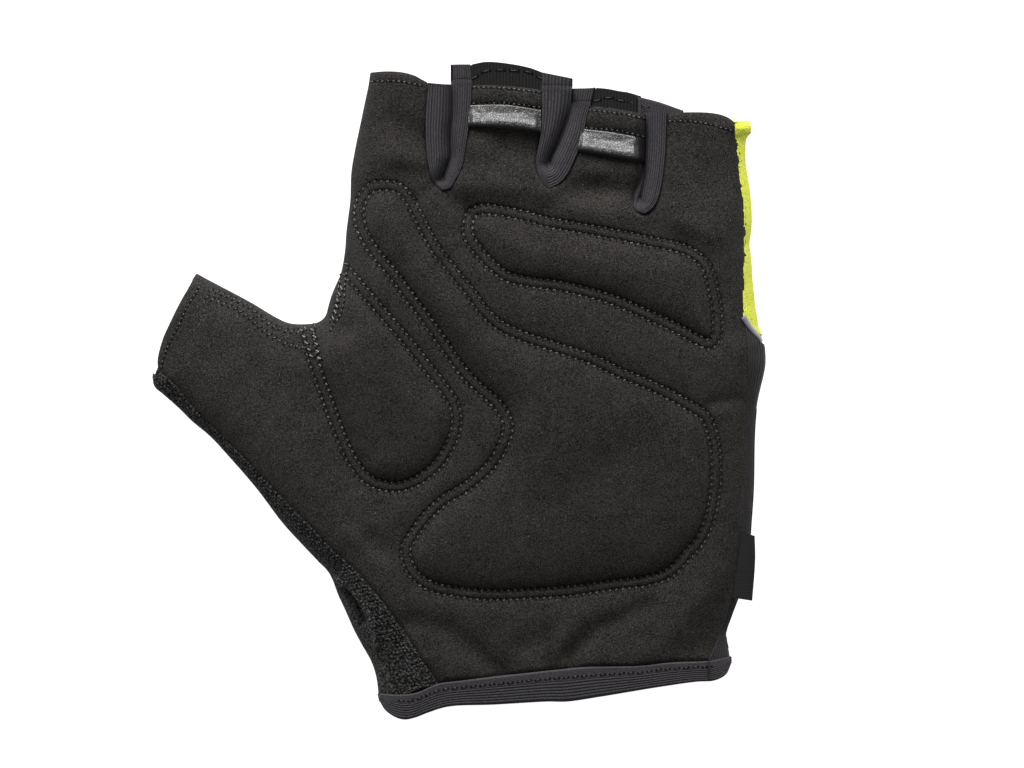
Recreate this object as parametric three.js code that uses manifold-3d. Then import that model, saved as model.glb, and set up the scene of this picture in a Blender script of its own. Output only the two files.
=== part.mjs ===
// A left-hand short-finger cycling glove lying on its back, palm up, in millimetres.
// X runs from the thumb to the little finger, Y from the cuff to the fingertips, Z up out of the palm.
// The origin is under the middle of the glove, on the surface it lies on.
import * as THREE from "three";
import { mergeVertices } from "three/addons/utils/BufferGeometryUtils.js";
import Module from "manifold-3d";

const wasm = await Module();
wasm.setup();

// Overall sizes.
const gloveWidth = 153.2; // thumb corner to little-finger side
const gloveLength = 164.8; // cuff binding to the middle finger's back edge
const palmHeight = 17; // over the hand, without the pads
const fingerHeight = 14.6;
const thumbHeight = 14.6;
const seamHeight = 6.5; // where the palm side meets the back
const edgeRound = 13; // how far in from a side the palm reaches its full height
const soleRound = 6; // the same for the flattened back
const roundShare = 0.9; // most of a section's half width that its rounds may take

// Cloth.
const clothWall = 1.8;
const seamGap = 0.3; // between neighbouring pieces

// Gel pads under the palm.
const padRise = 2.4;
const padRound = 6;

// Elastic tape round the slits between the fingers.
const tapeReach = 5.6; // from the slit's middle line to the tape's edge
const tapeTuck = 2.6; // the same on the ring finger's side of the last slit
const tapeTip = 11; // length over which the tape narrows to the foot of the slit

// Palm edges of the middle and ring fingers end short of their backs.
const palmShort = 6.4;

// Pull-off tabs on the middle and ring fingers.
const tabWidth = 5.6;
const tabThickness = 1.8;
const tabArch = 1.1;

// Elastic binding round the cuff.
const bindingHeight = 7;
const bindingProud = 0.6;

// Piping between the bright side panel and the ribbed gusset.
const pipingWidth = 2.4;

// Woven side label, a folded tab in the side seam.
const labelLength = 15.4;
const labelReach = 4.6;
const labelThickness = 0.9;
const labelHeight = 8.8;

const beyond = 40; // how far cutting shapes run past the glove
const farOff = 160; // the same for the outer corners of the regions they are cut to
const meet = 0.01; // overlap of the two halves of a piece that folds round the side
const overrun = 5; // how far the hollows run out of the openings
const edgeSteps = 5;
const middleSteps = 6; // across the flat middle of the hand
const soleSteps = 3;

// A point of the glove's plan, from percent of its width and length measured from its lower left corner.
const plan = (across, along) =>
  new THREE.Vector2(
    (across / 100 - 0.5) * gloveWidth,
    (along / 100 - 0.5) * gloveLength,
  );

// Edges of the hand, from the cuff to the foot of the fingers.
// lx, ly and rx, ry are the left and right edge in percent of the plan, height is a share of palmHeight,
// and bow is how far the middle of the section runs ahead of its ends, in percent of the length.
const handRows = [
  { lx: 37.8, ly: 0.2, rx: 94.1, ry: 7.4, height: 0.8, bow: -1.2 },
  { lx: 37.2, ly: 4.1, rx: 94.5, ry: 10.6, height: 0.84, bow: -0.8 },
  { lx: 35.1, ly: 10.3, rx: 94.0, ry: 14.0, height: 0.9, bow: 0 },
  { lx: 32.0, ly: 16.4, rx: 95.4, ry: 18.2, height: 0.95, bow: 0 },
  { lx: 29.4, ly: 22.0, rx: 96.7, ry: 24.3, height: 0.98, bow: 0 },
  { lx: 27.2, ly: 28.8, rx: 97.7, ry: 30.3, height: 1, bow: 0 },
  { lx: 25.6, ly: 36.4, rx: 98.2, ry: 36.4, height: 1, bow: 0 },
  { lx: 24.8, ly: 44.0, rx: 98.4, ry: 42.5, height: 1, bow: 0 },
  { lx: 24.8, ly: 50.8, rx: 99.3, ry: 50.1, height: 1, bow: 0 },
  { lx: 25.1, ly: 55.8, rx: 100, ry: 55.8, height: 1, bow: 0 },
  { lx: 26.9, ly: 59.9, rx: 99.4, ry: 59.5, height: 1, bow: 0 },
  { lx: 28.9, ly: 63.0, rx: 98.5, ry: 63.7, height: 1, bow: 0 },
  { lx: 30.3, ly: 67.1, rx: 98.0, ry: 68.3, height: 1, bow: 0.4 },
  { lx: 31.6, ly: 72.1, rx: 98.0, ry: 71.5, height: 0.98, bow: 1.4 },
  { lx: 32.5, ly: 76.0, rx: 97.8, ry: 72.7, height: 0.86, bow: 2.6 },
  { lx: 32.9, ly: 78.4, rx: 97.5, ry: 73.3, height: 0.64, bow: 3.4 },
  { lx: 33.4, ly: 79.4, rx: 97.0, ry: 73.5, height: 0.42, bow: 3.7 },
];

// Soft folds in the palm's cloth: both ends in percent of the plan, depth and half width in millimetres.
const folds = [
  { from: [42, 17], to: [54, 9], depth: 0.9, spread: 3.2 },
  { from: [36, 33], to: [44, 12], depth: 0.8, spread: 3.5 },
  { from: [60, 8], to: [90, 14], depth: 0.5, spread: 4 },
  { from: [45, 72], to: [38, 84], depth: 0.7, spread: 3 },
  { from: [60, 58], to: [84, 53], depth: 0.5, spread: 4 },
  { from: [26, 60], to: [30, 74], depth: 0.7, spread: 3 },
];

// Edges of each finger, from inside the hand to its open end, in the same columns without height:
// each finger has fingerHeight all along.
const fingerRows = {
  index: [
    { lx: 32.8, ly: 69.0, rx: 47.1, ry: 69.0, bow: 0 },
    { lx: 32.8, ly: 75.1, rx: 47.3, ry: 75.1, bow: 0 },
    { lx: 32.8, ly: 81.2, rx: 46.7, ry: 80.4, bow: 0 },
    { lx: 33.6, ly: 88.0, rx: 46.8, ry: 87.3, bow: 0.1 },
    { lx: 34.6, ly: 93.3, rx: 47.3, ry: 92.3, bow: 0.3 },
    { lx: 35.7, ly: 98.3, rx: 47.7, ry: 96.4, bow: 0.5 },
  ],
  middle: [
    { lx: 49.1, ly: 69.0, rx: 64.3, ry: 69.0, bow: 0 },
    { lx: 48.5, ly: 75.1, rx: 64.4, ry: 75.1, bow: 0 },
    { lx: 48.0, ly: 80.4, rx: 64.1, ry: 80.4, bow: 0 },
    { lx: 48.3, ly: 87.3, rx: 66.1, ry: 87.7, bow: 0.3 },
    { lx: 48.6, ly: 93.3, rx: 67.9, ry: 93.3, bow: 0.8 },
    { lx: 48.8, ly: 98.9, rx: 68.7, ry: 97.6, bow: 1.5 },
  ],
  ring: [
    { lx: 66.1, ly: 68.6, rx: 78.8, ry: 68.3, bow: 0 },
    { lx: 65.7, ly: 74.7, rx: 79.1, ry: 72.8, bow: 0 },
    { lx: 65.6, ly: 80.4, rx: 78.8, ry: 77.7, bow: 0 },
    { lx: 67.2, ly: 87.3, rx: 79.9, ry: 84.2, bow: 0.3 },
    { lx: 69.0, ly: 92.6, rx: 81.6, ry: 89.9, bow: 0.6 },
    { lx: 69.8, ly: 95.6, rx: 83.9, ry: 93.5, bow: 0.9 },
  ],
  little: [
    { lx: 80.8, ly: 66.0, rx: 96.0, ry: 66.0, bow: 0 },
    { lx: 80.3, ly: 72.1, rx: 97.0, ry: 71.3, bow: 0 },
    { lx: 80.2, ly: 77.7, rx: 97.8, ry: 76.6, bow: 0 },
    { lx: 81.3, ly: 83.8, rx: 97.6, ry: 82.7, bow: 0.3 },
    { lx: 82.9, ly: 88.9, rx: 97.2, ry: 86.5, bow: 0.7 },
    { lx: 84.6, ly: 92.0, rx: 97.2, ry: 90.1, bow: 1.1 },
  ],
};
const fingerNames = Object.keys(fingerRows);

// Edges of the thumb, from its open end into the hand. The left edge is the one towards the fingers.
const thumbRows = [
  { lx: 6.9, ly: 67.8, rx: 0.4, ry: 51.0, bow: -0.6 },
  { lx: 11.9, ly: 65.4, rx: 5.4, ry: 46.9, bow: -0.3 },
  { lx: 17.5, ly: 62.8, rx: 11.4, ry: 41.4, bow: 0 },
  { lx: 22.3, ly: 60.7, rx: 16.8, ry: 36.0, bow: 0 },
  { lx: 26.3, ly: 59.6, rx: 21.4, ry: 30.2, bow: 0 },
  { lx: 30.5, ly: 58.0, rx: 25.4, ry: 25.8, bow: 0 },
  { lx: 34.4, ly: 53.9, rx: 29.4, ry: 21.2, bow: 0 },
  { lx: 38.0, ly: 45.5, rx: 32.3, ry: 16.2, bow: 0 },
  { lx: 40.6, ly: 36.4, rx: 36.8, ry: 11.5, bow: 0 },
];

// Gel pads, from their cuff end to their finger end: along, and the left and right edge, in percent of the plan.
const padRows = {
  heel: [
    { along: 18.2, left: 50.4, right: 63.6 },
    { along: 19.2, left: 45.5, right: 75.0 },
    { along: 21.2, left: 42.6, right: 83.6 },
    { along: 25.8, left: 40.8, right: 89.7 },
    { along: 31.2, left: 44.3, right: 92.2 },
    { along: 36.4, left: 52.0, right: 92.8 },
    { along: 41.0, left: 56.4, right: 92.3 },
    { along: 44.8, left: 57.3, right: 91.8 },
    { along: 47.2, left: 55.2, right: 91.0 },
    { along: 50.6, left: 51.6, right: 85.2 },
    { along: 53.4, left: 49.6, right: 76.6 },
    { along: 55.6, left: 47.8, right: 70.6 },
    { along: 57.8, left: 46.2, right: 64.0 },
    { along: 60.6, left: 44.2, right: 57.4 },
    { along: 64.6, left: 41.2, right: 54.0 },
    { along: 69.0, left: 37.6, right: 50.4 },
    { along: 73.4, left: 34.6, right: 47.0 },
    { along: 77.2, left: 33.4, right: 44.6 },
    { along: 81.2, left: 35.6, right: 41.0 },
  ],
  knuckle: [
    { along: 56.6, left: 90.0, right: 92.6 },
    { along: 58.4, left: 85.6, right: 93.3 },
    { along: 61.0, left: 80.2, right: 93.5 },
    { along: 63.6, left: 73.0, right: 93.0 },
    { along: 66.0, left: 59.0, right: 92.4 },
    { along: 69.0, left: 53.6, right: 91.2 },
    { along: 72.0, left: 51.4, right: 88.0 },
    { along: 74.8, left: 50.7, right: 72.0 },
    { along: 78.0, left: 53.4, right: 58.6 },
  ],
  thumb: [
    { along: 35.6, left: 37.6, right: 40.6 },
    { along: 37.2, left: 34.6, right: 44.2 },
    { along: 40.4, left: 32.2, right: 48.0 },
    { along: 44.4, left: 30.4, right: 50.2 },
    { along: 48.4, left: 28.8, right: 49.6 },
    { along: 52.4, left: 27.6, right: 47.0 },
    { along: 56.4, left: 27.2, right: 43.2 },
    { along: 60.4, left: 28.2, right: 39.4 },
    { along: 64.4, left: 30.0, right: 36.2 },
    { along: 67.4, left: 30.8, right: 33.0 },
  ],
};

// Seams, as points in percent of the plan.
const sideSeam = [
  [95.4, 108],
  [95.8, 90.2],
  [96.3, 86.4],
  [96.8, 82.2],
  [97.1, 76.6],
  [97.3, 69.8],
  [97.4, 62.2],
  [97.6, 56.8],
  [97.6, 48.6],
  [97.5, 41.0],
  [97.2, 33.4],
  [96.4, 27.4],
  [95.2, 21.8],
  [93.6, 15.2],
  [92.0, 10.4],
  [91.4, 4],
  [91.2, -6],
];
const thumbSeam = [
  [-10, 61],
  [2.0, 51.9],
  [8.0, 47.8],
  [12.1, 44.3],
  [16.2, 40.1],
  [20.2, 34.9],
  [24.3, 29.7],
  [31.6, 22.5],
  [37.7, 17.1],
  [40.8, 13.0],
  [43.9, 9.0],
  [46.8, 4.9],
  [50.4, -6],
];
const backThumbSeam = [
  [24.6, 68],
  [27.2, 59.2],
  [31.6, 48.6],
  [36.0, 36.4],
  [40.6, 24.3],
  [44.7, 12.1],
  [48.4, -6],
];
const backGussetSeam = [
  [92.6, 54],
  [91.6, 46],
  [90.5, 36.4],
  [89.2, 24.3],
  [87.9, 12.1],
  [87.3, -6],
];
const pipingPalm = [
  [95.8, 64.2],
  [97.4, 60.8],
  [100.2, 56.6],
  [103.4, 52.4],
];
const pipingBack = [
  [101.6, 61.4],
  [100.2, 56.6],
  [97.4, 51.0],
  [91.5, 48.3],
  [86.0, 50.7],
  [82.5, 57.4],
  [80.8, 66.5],
  [80.2, 73.6],
];
// Where the gap between the piping's two runs ends inside the gusset.
const pipingInside = [94, 48];

// Places of the pull tabs: both ends of the middle line, in percent of the plan.
const tabPlaces = {
  middle: { from: [52.4, 92.0], to: [63.7, 91.3] },
  ring: { from: [70.0, 88.3], to: [80.2, 86.3] },
};
// Middle of the label's root, and the way it points.
const labelPlace = [96.2, 22.9];
const labelTurn = -0.09; // radians

// Colours and finishes.
const finish = (color, roughness, metalness = 0) =>
  new THREE.MeshStandardMaterial({ color, roughness, metalness });
const suede = finish(0x2b2826, 0.95);
const stretchCloth = finish(0x1d1c1e, 0.85);
const terry = finish(0x232221, 1);
const brightCloth = finish(0xdfee2a, 0.75);
const reflective = finish(0x8a8b90, 0.45, 0.2);
const ribbedCloth = finish(0x242226, 0.8);
const elastic = finish(0x34323a, 0.8);
const gloss = finish(0x1a1a1b, 0.3);
const woven = finish(0x141416, 0.6);

const pointsOf = (rows) => rows.map(([across, along]) => plan(across, along));
const smooth = (points, perSpan = 2) =>
  new THREE.SplineCurve(points).getPoints((points.length - 1) * perSpan);

// A closed surface as a solid, and back.
function solidOf(geometry) {
  const bare = geometry.index ? geometry.toNonIndexed() : geometry.clone();
  for (const name of Object.keys(bare.attributes))
    if (name !== "position") bare.deleteAttribute(name);
  const merged = mergeVertices(bare, 1e-4);
  return new wasm.Manifold(
    new wasm.Mesh({
      numProp: 3,
      vertProperties: merged.attributes.position.array,
      triVerts: new Uint32Array(merged.index.array),
    }),
  );
}
function geometryOf(solid) {
  const mesh = solid.getMesh();
  return new THREE.BufferGeometry()
    .setAttribute("position", new THREE.BufferAttribute(mesh.vertProperties, 3))
    .setIndex(new THREE.BufferAttribute(mesh.triVerts, 1));
}
const union = (solids) => solids.reduce((whole, next) => whole.add(next));

// A closed solid through rings of equally many points. Each ring runs over the top from left to right and back below.
function loft(rings) {
  const ringSize = rings[0].length;
  const corners = [];
  const triangle = (...three) =>
    three.forEach((p) => corners.push(p.x, p.y, p.z));
  // An end is filled with triangles from side to side.
  const fill = (ring, turn) => {
    let over = 0;
    let under = ringSize;
    while (over + 1 < under) {
      const top = ring[over + 1];
      const bottom = ring[under - 1];
      const from = [ring[over], ring[under % ringSize]];
      const topIsNext =
        Math.hypot(top.x - ring[0].x, top.y - ring[0].y) <=
        Math.hypot(bottom.x - ring[0].x, bottom.y - ring[0].y);
      const next = topIsNext ? top : bottom;
      if (topIsNext) over++;
      else under--;
      if (from[0] === from[1]) continue;
      if (turn) triangle(from[1], from[0], next);
      else triangle(from[0], from[1], next);
    }
  };
  for (let i = 0; i < ringSize; i++) {
    const next = (i + 1) % ringSize;
    for (let r = 0; r + 1 < rings.length; r++) {
      triangle(rings[r][i], rings[r][next], rings[r + 1][next]);
      triangle(rings[r][i], rings[r + 1][next], rings[r + 1][i]);
    }
  }
  fill(rings[0], false);
  fill(rings.at(-1), true);
  return solidOf(
    new THREE.BufferGeometry().setAttribute(
      "position",
      new THREE.Float32BufferAttribute(corners, 3),
    ),
  );
}

// How far the cloth sinks in its folds at a point of the plan.
const foldLines = folds.map(({ from, to, depth, spread }) => ({
  line: new THREE.Line3(
    new THREE.Vector3(...plan(...from), 0),
    new THREE.Vector3(...plan(...to), 0),
  ),
  depth,
  spread,
}));
const nearest = new THREE.Vector3();
const sinkAt = (p) =>
  foldLines.reduce((sum, { line, depth, spread }) => {
    line.closestPointToPoint(p, true, nearest);
    const away = nearest.distanceTo(p) / spread;
    return sum + depth * Math.exp(-away * away);
  }, 0);

// A section across a tube of cloth, from its left edge to its right: round at both edges, flat on top and below.
function section(rib, inset) {
  const across = rib.right.clone().sub(rib.left);
  const width = across.length();
  across.divideScalar(width);
  const ahead = new THREE.Vector2(-across.y, across.x);
  const half = width / 2 - inset;
  const ring = [];
  const add = (fromEdge, side, z) => {
    const along = side * (half - fromEdge);
    const share = along / (width / 2);
    const p = rib.left
      .clone()
      .lerp(rib.right, 0.5)
      .addScaledVector(across, along)
      .addScaledVector(ahead, rib.bow * (1 - share * share));
    const raised = (z - seamHeight) / (rib.height - seamHeight);
    const sink = sinkAt(new THREE.Vector3(p.x, p.y, 0)) * Math.max(raised, 0);
    ring.push(new THREE.Vector3(p.x, p.y, z - sink));
  };
  const arc = (side, steps, round, level) => {
    for (const step of steps) {
      const angle = (step * Math.PI) / 2;
      const fromEdge = Math.min(round, roundShare * half) * (1 - Math.cos(angle));
      add(fromEdge, side, seamHeight + (level - seamHeight) * Math.sin(angle));
    }
  };
  const shares = (count) =>
    Array.from({ length: count }, (_, i) => (i + 1) / count);
  const top = Math.max(rib.height - inset, seamHeight + seamGap);
  const sole = Math.max(inset, 0);
  const rise = shares(edgeSteps);
  const drop = shares(soleSteps);
  add(0, -1, seamHeight);
  arc(-1, rise, edgeRound - inset, top);
  const edge = Math.min(edgeRound - inset, roundShare * half);
  for (const share of shares(middleSteps).slice(0, -1))
    add(edge + share * 2 * (half - edge), -1, top);
  arc(1, [...rise].reverse(), edgeRound - inset, top);
  add(0, 1, seamHeight);
  arc(1, drop, soleRound, sole);
  arc(-1, [...drop].reverse(), soleRound, sole);
  return ring;
}

// Ribs of a tube from its table of edges.
function ribsOf(rows, height) {
  return rows.map((row) => ({
    left: plan(row.lx, row.ly),
    right: plan(row.rx, row.ry),
    height: height * (row.height ?? 1),
    share: row.height ?? 1,
    bow: (row.bow / 100) * gloveLength,
  }));
}
function runOut(end, inner) {
  const step = (edge) =>
    end[edge]
      .clone()
      .add(end[edge].clone().sub(inner[edge]).setLength(overrun));
  return { ...end, left: step("left"), right: step("right") };
}
// The tube of some ribs, inset by the cloth's wall for its hollow, which runs out of the open ends
// and stays back from an end that closes.
function tube(ribs, inset, open = {}) {
  const lowest = Math.min(...ribs.map((rib) => rib.share));
  const all = ribs.map((rib) => {
    const back = lowest < 1 ? (inset * (1 - rib.share)) / (1 - lowest) : 0;
    const pull = new THREE.Vector2(0, -Math.max(back, 0));
    return {
      ...rib,
      left: rib.left.clone().add(pull),
      right: rib.right.clone().add(pull),
    };
  });
  if (open.start) all.unshift(runOut(ribs[0], ribs[1]));
  if (open.end) all.push(runOut(ribs.at(-1), ribs.at(-2)));
  return loft(all.map((rib) => section(rib, inset)));
}

// A block of the plan between two heights.
function prism(points, low = -beyond, high = beyond) {
  const shape = new THREE.Shape(points);
  return solidOf(
    new THREE.ExtrudeGeometry(shape, {
      depth: high - low,
      bevelEnabled: false,
    }).translate(0, 0, low),
  );
}
// The curve's points moved sideways to its right.
function beside(points, distance) {
  return points.map((p, i) => {
    const before = points[Math.max(i - 1, 0)];
    const after = points[Math.min(i + 1, points.length - 1)];
    const way = after.clone().sub(before).normalize();
    return p
      .clone()
      .addScaledVector(new THREE.Vector2(way.y, -way.x), distance);
  });
}
// An upright curtain along a curve.
function curtain(points, width, low, high) {
  const ring = [
    ...beside(points, width / 2),
    ...beside(points, -width / 2).reverse(),
  ];
  return prism(ring, low, high);
}
const above = (points) => prism(points, seamHeight - meet, beyond);
const below = (points) => prism(points, -beyond, seamHeight + meet);
const corner = (x, y) => new THREE.Vector2(x, y).multiplyScalar(farOff);

// The whole glove as one hollow body of cloth.
const handRibs = ribsOf(handRows, palmHeight);
const thumbRibs = ribsOf(thumbRows, thumbHeight);
const fingerRibs = fingerNames.map((name) =>
  ribsOf(fingerRows[name], fingerHeight),
);
const gloveBody = (inset, open) =>
  union([
    tube(handRibs, inset, { start: open }),
    tube(thumbRibs, inset, { start: open }),
    ...fingerRibs.map((ribs) => tube(ribs, inset, { end: open })),
  ]);
const outside = gloveBody(0, false);
const hollow = gloveBody(clothWall, true);

// Height of the palm's surface over a point of the plan.
const surface = new THREE.Mesh(
  geometryOf(outside).toNonIndexed(),
  new THREE.MeshBasicMaterial(),
);
const down = new THREE.Vector3(0, 0, -1);
function palmAt(point) {
  const from = new THREE.Vector3(point.x, point.y, beyond);
  const hit = new THREE.Raycaster(from, down).intersectObject(surface)[0];
  return hit ? hit.point.z : seamHeight;
}

// A pad: a low cushion on the palm, round along its edge.
function padOn(rows) {
  const edge = (side) => smooth(rows.map((row) => plan(row[side], row.along)));
  const left = edge("left");
  const right = edge("right");
  const first = left[0].y;
  const last = left.at(-1).y;
  const acrossSteps = 8;
  const rim = -0.3; // the pad's edge starts just under the cloth
  const rings = left.map((from, r) => {
    const to = right[r];
    const top = [];
    const bottom = [];
    for (let i = 0; i <= acrossSteps; i++) {
      const share = (1 - Math.cos((Math.PI * i) / acrossSteps)) / 2;
      const p = from.clone().lerp(to, share);
      const inside = Math.min(
        p.x - from.x,
        to.x - p.x,
        p.y - first,
        last - p.y,
        padRound,
      );
      const lean = 1 - Math.max(inside, 0) / padRound;
      const base = palmAt(p);
      const rise = (padRise - rim) * Math.sqrt(1 - lean * lean) + rim;
      top.push(new THREE.Vector3(p.x, p.y, base + rise));
      bottom.push(new THREE.Vector3(p.x, p.y, base - 2 * clothWall));
    }
    return [...top, ...bottom.reverse()];
  });
  return loft(rings);
}
const pads = union(Object.values(padRows).map(padOn));
const shell = outside.subtract(hollow).add(pads.subtract(hollow));

// Regions of the plan that the pattern pieces are cut from.
const sideCurve = smooth(pointsOf(sideSeam));
const thumbCurve = smooth(pointsOf(thumbSeam));
const backThumbCurve = smooth(pointsOf(backThumbSeam));
const gussetCurve = smooth(pointsOf(backGussetSeam));
const pipingPalmCurve = smooth(pointsOf(pipingPalm));
const pipingBackCurve = smooth(pointsOf(pipingBack));
const sideStrip = [...sideCurve, corner(1, -1), corner(1, 1)];
const thumbStrip = [...thumbCurve, corner(-1, -1)];
const palmRegion = [
  corner(-1, 1),
  ...sideCurve,
  ...[...thumbCurve].reverse(),
];
const palmSideUpper = [...pipingPalmCurve, corner(1, 0), corner(0, 1)];
const backThumb = [...backThumbCurve, corner(-1, -1), corner(-1, 1)];
const backGusset = [...gussetCurve, corner(1, -1), corner(1, 0)];

// Middle lines of the slits, from the foot up past the fingers' ends, and the tapes' regions round them.
const footRow = 2; // the row of a finger's table at the foot of its slits
const slitLines = fingerRibs.slice(1).map((ribs, i) => {
  const line = ribs
    .slice(footRow)
    .map((rib, r) =>
      fingerRibs[i][r + footRow].right.clone().lerp(rib.left, 0.5),
    );
  const tip = line.at(-1);
  const past = tip.clone().sub(line.at(-2)).setLength(overrun);
  return smooth([...line, tip.clone().add(past)]);
});
const backBright = [
  ...pipingBackCurve,
  ...slitLines.at(-1),
  corner(0.5, 1),
  corner(1, 1),
];
function tapeRegion(line, leftReach, rightReach, margin) {
  const foot = line[0];
  const way = foot.clone().sub(line[1]).normalize();
  const start = foot.clone().addScaledVector(way, tapeReach / 2 + margin);
  const points = [start, ...line];
  const side = (reach) => {
    const straight = beside(points, Math.sign(reach));
    return points.map((p, i) => {
      const run = Math.min(p.distanceTo(start) / tapeTip, 1);
      const share = Math.sqrt(1 - (1 - run) * (1 - run));
      const out = Math.abs(reach) * share + margin * (i ? 1 : 0);
      return p.clone().lerp(straight[i], out);
    });
  };
  return [...side(-leftReach), ...side(rightReach).slice(1).reverse()];
}
const tapeReaches = [
  [tapeReach, tapeReach],
  [tapeReach, tapeReach],
  [tapeTuck, tapeReach],
];
const tapeBlocks = (margin) =>
  slitLines.map((line, i) => prism(tapeRegion(line, ...tapeReaches[i], margin)));

// Blocks past the palm edges of the middle and ring fingers.
const palmEnds = ["middle", "ring"].map((name) => {
  const end = fingerRibs[fingerNames.indexOf(name)].at(-1);
  const across = end.right.clone().sub(end.left);
  const ahead = new THREE.Vector2(-across.y, across.x).normalize();
  const from = end.left.clone().addScaledVector(ahead, end.bow - palmShort);
  const to = end.right.clone().addScaledVector(ahead, end.bow - palmShort);
  const far = [to, from].map((p) => p.clone().addScaledVector(ahead, beyond));
  return above([from, to, ...far]);
});

// The cuff binding's band, up from the open edge of the cuff.
function cuffBand(height) {
  const ring = section(handRibs[0], -bindingProud);
  const edge = ring
    .filter((p) => p.z >= seamHeight)
    .map((p) => new THREE.Vector2(p.x, p.y));
  const out = edge.at(-1).clone().sub(edge[0]).setLength(overrun);
  edge.unshift(edge[0].clone().sub(out));
  edge.push(edge.at(-1).clone().add(out));
  const up = new THREE.Vector2(-out.y, out.x).setLength(height);
  return prism([
    ...edge.map((p) => p.clone().add(up)),
    ...edge.map((p) => p.clone().addScaledVector(up, -1)).reverse(),
  ]);
}

// Thin gaps along every seam.
const gapCurtain = (curve, low, high, width = seamGap) =>
  curtain(curve, width, low, high);
const seamLow = seamHeight - seamGap / 2;
const seamHigh = seamHeight + seamGap / 2;
const pipingBlock = (width, backCurve) =>
  gapCurtain(pipingPalmCurve, seamHeight, beyond, width)
    .intersect(above(sideStrip))
    .add(gapCurtain(backCurve, -beyond, seamHeight, width));
const pipingPath = [...pipingBackCurve, slitLines.at(-1)[0]];
const pipingWedge = [
  pipingPalmCurve[0],
  pipingPalmCurve.at(-1),
  plan(...pipingInside),
];
const seams = union([
  prism(palmRegion, seamLow, seamHigh),
  gapCurtain(sideCurve, seamLow, beyond),
  gapCurtain(thumbCurve, seamLow, beyond),
  gapCurtain(backThumbCurve, -beyond, seamLow),
  gapCurtain(gussetCurve, -beyond, seamHeight).subtract(below(backBright)),
]);
const openShell = shell
  .subtract(cuffBand(bindingHeight + seamGap))
  .subtract(union(palmEnds));
const cloth = openShell
  .subtract(union(tapeBlocks(seamGap)))
  .subtract(seams);
const panels = cloth
  .subtract(pipingBlock(pipingWidth + 2 * seamGap, pipingPath))
  .subtract(prism(pipingWedge, seamLow, seamHigh));

// The pieces.
const palmPanel = panels.intersect(above(palmRegion));
const thumbBack = panels.intersect(
  above(thumbStrip).add(below(backThumb)),
);
const brightSide = panels.intersect(
  above(sideStrip).intersect(prism(palmSideUpper)).add(below(backBright)),
);
const sideGusset = panels.intersect(
  above(sideStrip)
    .subtract(prism(palmSideUpper))
    .add(below(backGusset).subtract(below(backBright))),
);
const backPanel = panels.intersect(
  below([corner(-1, -1), corner(1, -1), corner(1, 1), corner(-1, 1)])
    .subtract(below(backThumb))
    .subtract(below(backGusset))
    .subtract(below(backBright)),
);
const piping = cloth.intersect(pipingBlock(pipingWidth, pipingBackCurve));
const tapes = tapeBlocks(0).map((block) => openShell.intersect(block));
const cuffBinding = tube(handRibs, -bindingProud)
  .subtract(tube(handRibs, clothWall + bindingProud, { start: true }))
  .intersect(cuffBand(bindingHeight));

// A pull tab: a flattened roll of glossy sheet that arches over the palm side of its finger.
function pullTab(place) {
  const from = plan(...place.from);
  const to = plan(...place.to);
  const ahead = new THREE.Vector2(from.y - to.y, to.x - from.x).normalize();
  const steps = 8;
  const round = tabThickness / 3;
  const half = tabWidth / 2;
  const outline = [
    { ahead: -half, up: tabThickness / 2 },
    { ahead: -half + round, up: tabThickness },
    { ahead: half - round, up: tabThickness },
    { ahead: half, up: tabThickness / 2 },
    { ahead: half - round, up: 0 },
    { ahead: -half + round, up: 0 },
  ];
  const rings = [];
  for (let i = 0; i <= steps; i++) {
    const share = i / steps;
    const p = from.clone().lerp(to, share);
    const base = palmAt(p) + seamGap + tabArch * Math.sin(Math.PI * share);
    rings.push(
      outline.map((edge) => {
        const out = p.clone().addScaledVector(ahead, edge.ahead);
        return new THREE.Vector3(out.x, out.y, base + edge.up);
      }),
    );
  }
  return loft(rings.reverse());
}

// The side label, cut to the glove's side with a small gap.
function labelTab() {
  const root = plan(...labelPlace);
  const box = new THREE.BoxGeometry(
    2 * labelReach,
    labelLength,
    labelThickness,
  );
  box.rotateZ(labelTurn);
  box.translate(root.x, root.y, labelHeight + labelThickness / 2);
  return solidOf(box).subtract(tube(handRibs, -seamGap));
}

const pieces = [
  ["palm_panel", palmPanel, suede],
  ["back_panel", backPanel, stretchCloth],
  ["thumb_back_terry", thumbBack, terry],
  ["side_panel_bright", brightSide, brightCloth],
  ["reflective_piping", piping, reflective],
  ["side_gusset_ribbed", sideGusset, ribbedCloth],
  ["finger_tape_index_middle", tapes[0], elastic],
  ["finger_tape_middle_ring", tapes[1], elastic],
  ["finger_tape_ring_little", tapes[2], elastic],
  ["pull_tab_middle", pullTab(tabPlaces.middle), gloss],
  ["pull_tab_ring", pullTab(tabPlaces.ring), gloss],
  ["cuff_binding", cuffBinding, elastic],
  ["side_label", labelTab(), woven],
];
const glove = new THREE.Group();
for (const [name, solid, material] of pieces) {
  const mesh = new THREE.Mesh(geometryOf(solid), material);
  mesh.name = name;
  glove.add(mesh);
}

export default glove;
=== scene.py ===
# Dresses the cycling glove: suede palm with stitched pads, ribbed tapes, tabs, side panels and cuff binding.
import math
import random

import bpy
import numpy as np
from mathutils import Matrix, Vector, geometry, noise
from mathutils.kdtree import KDTree


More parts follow.
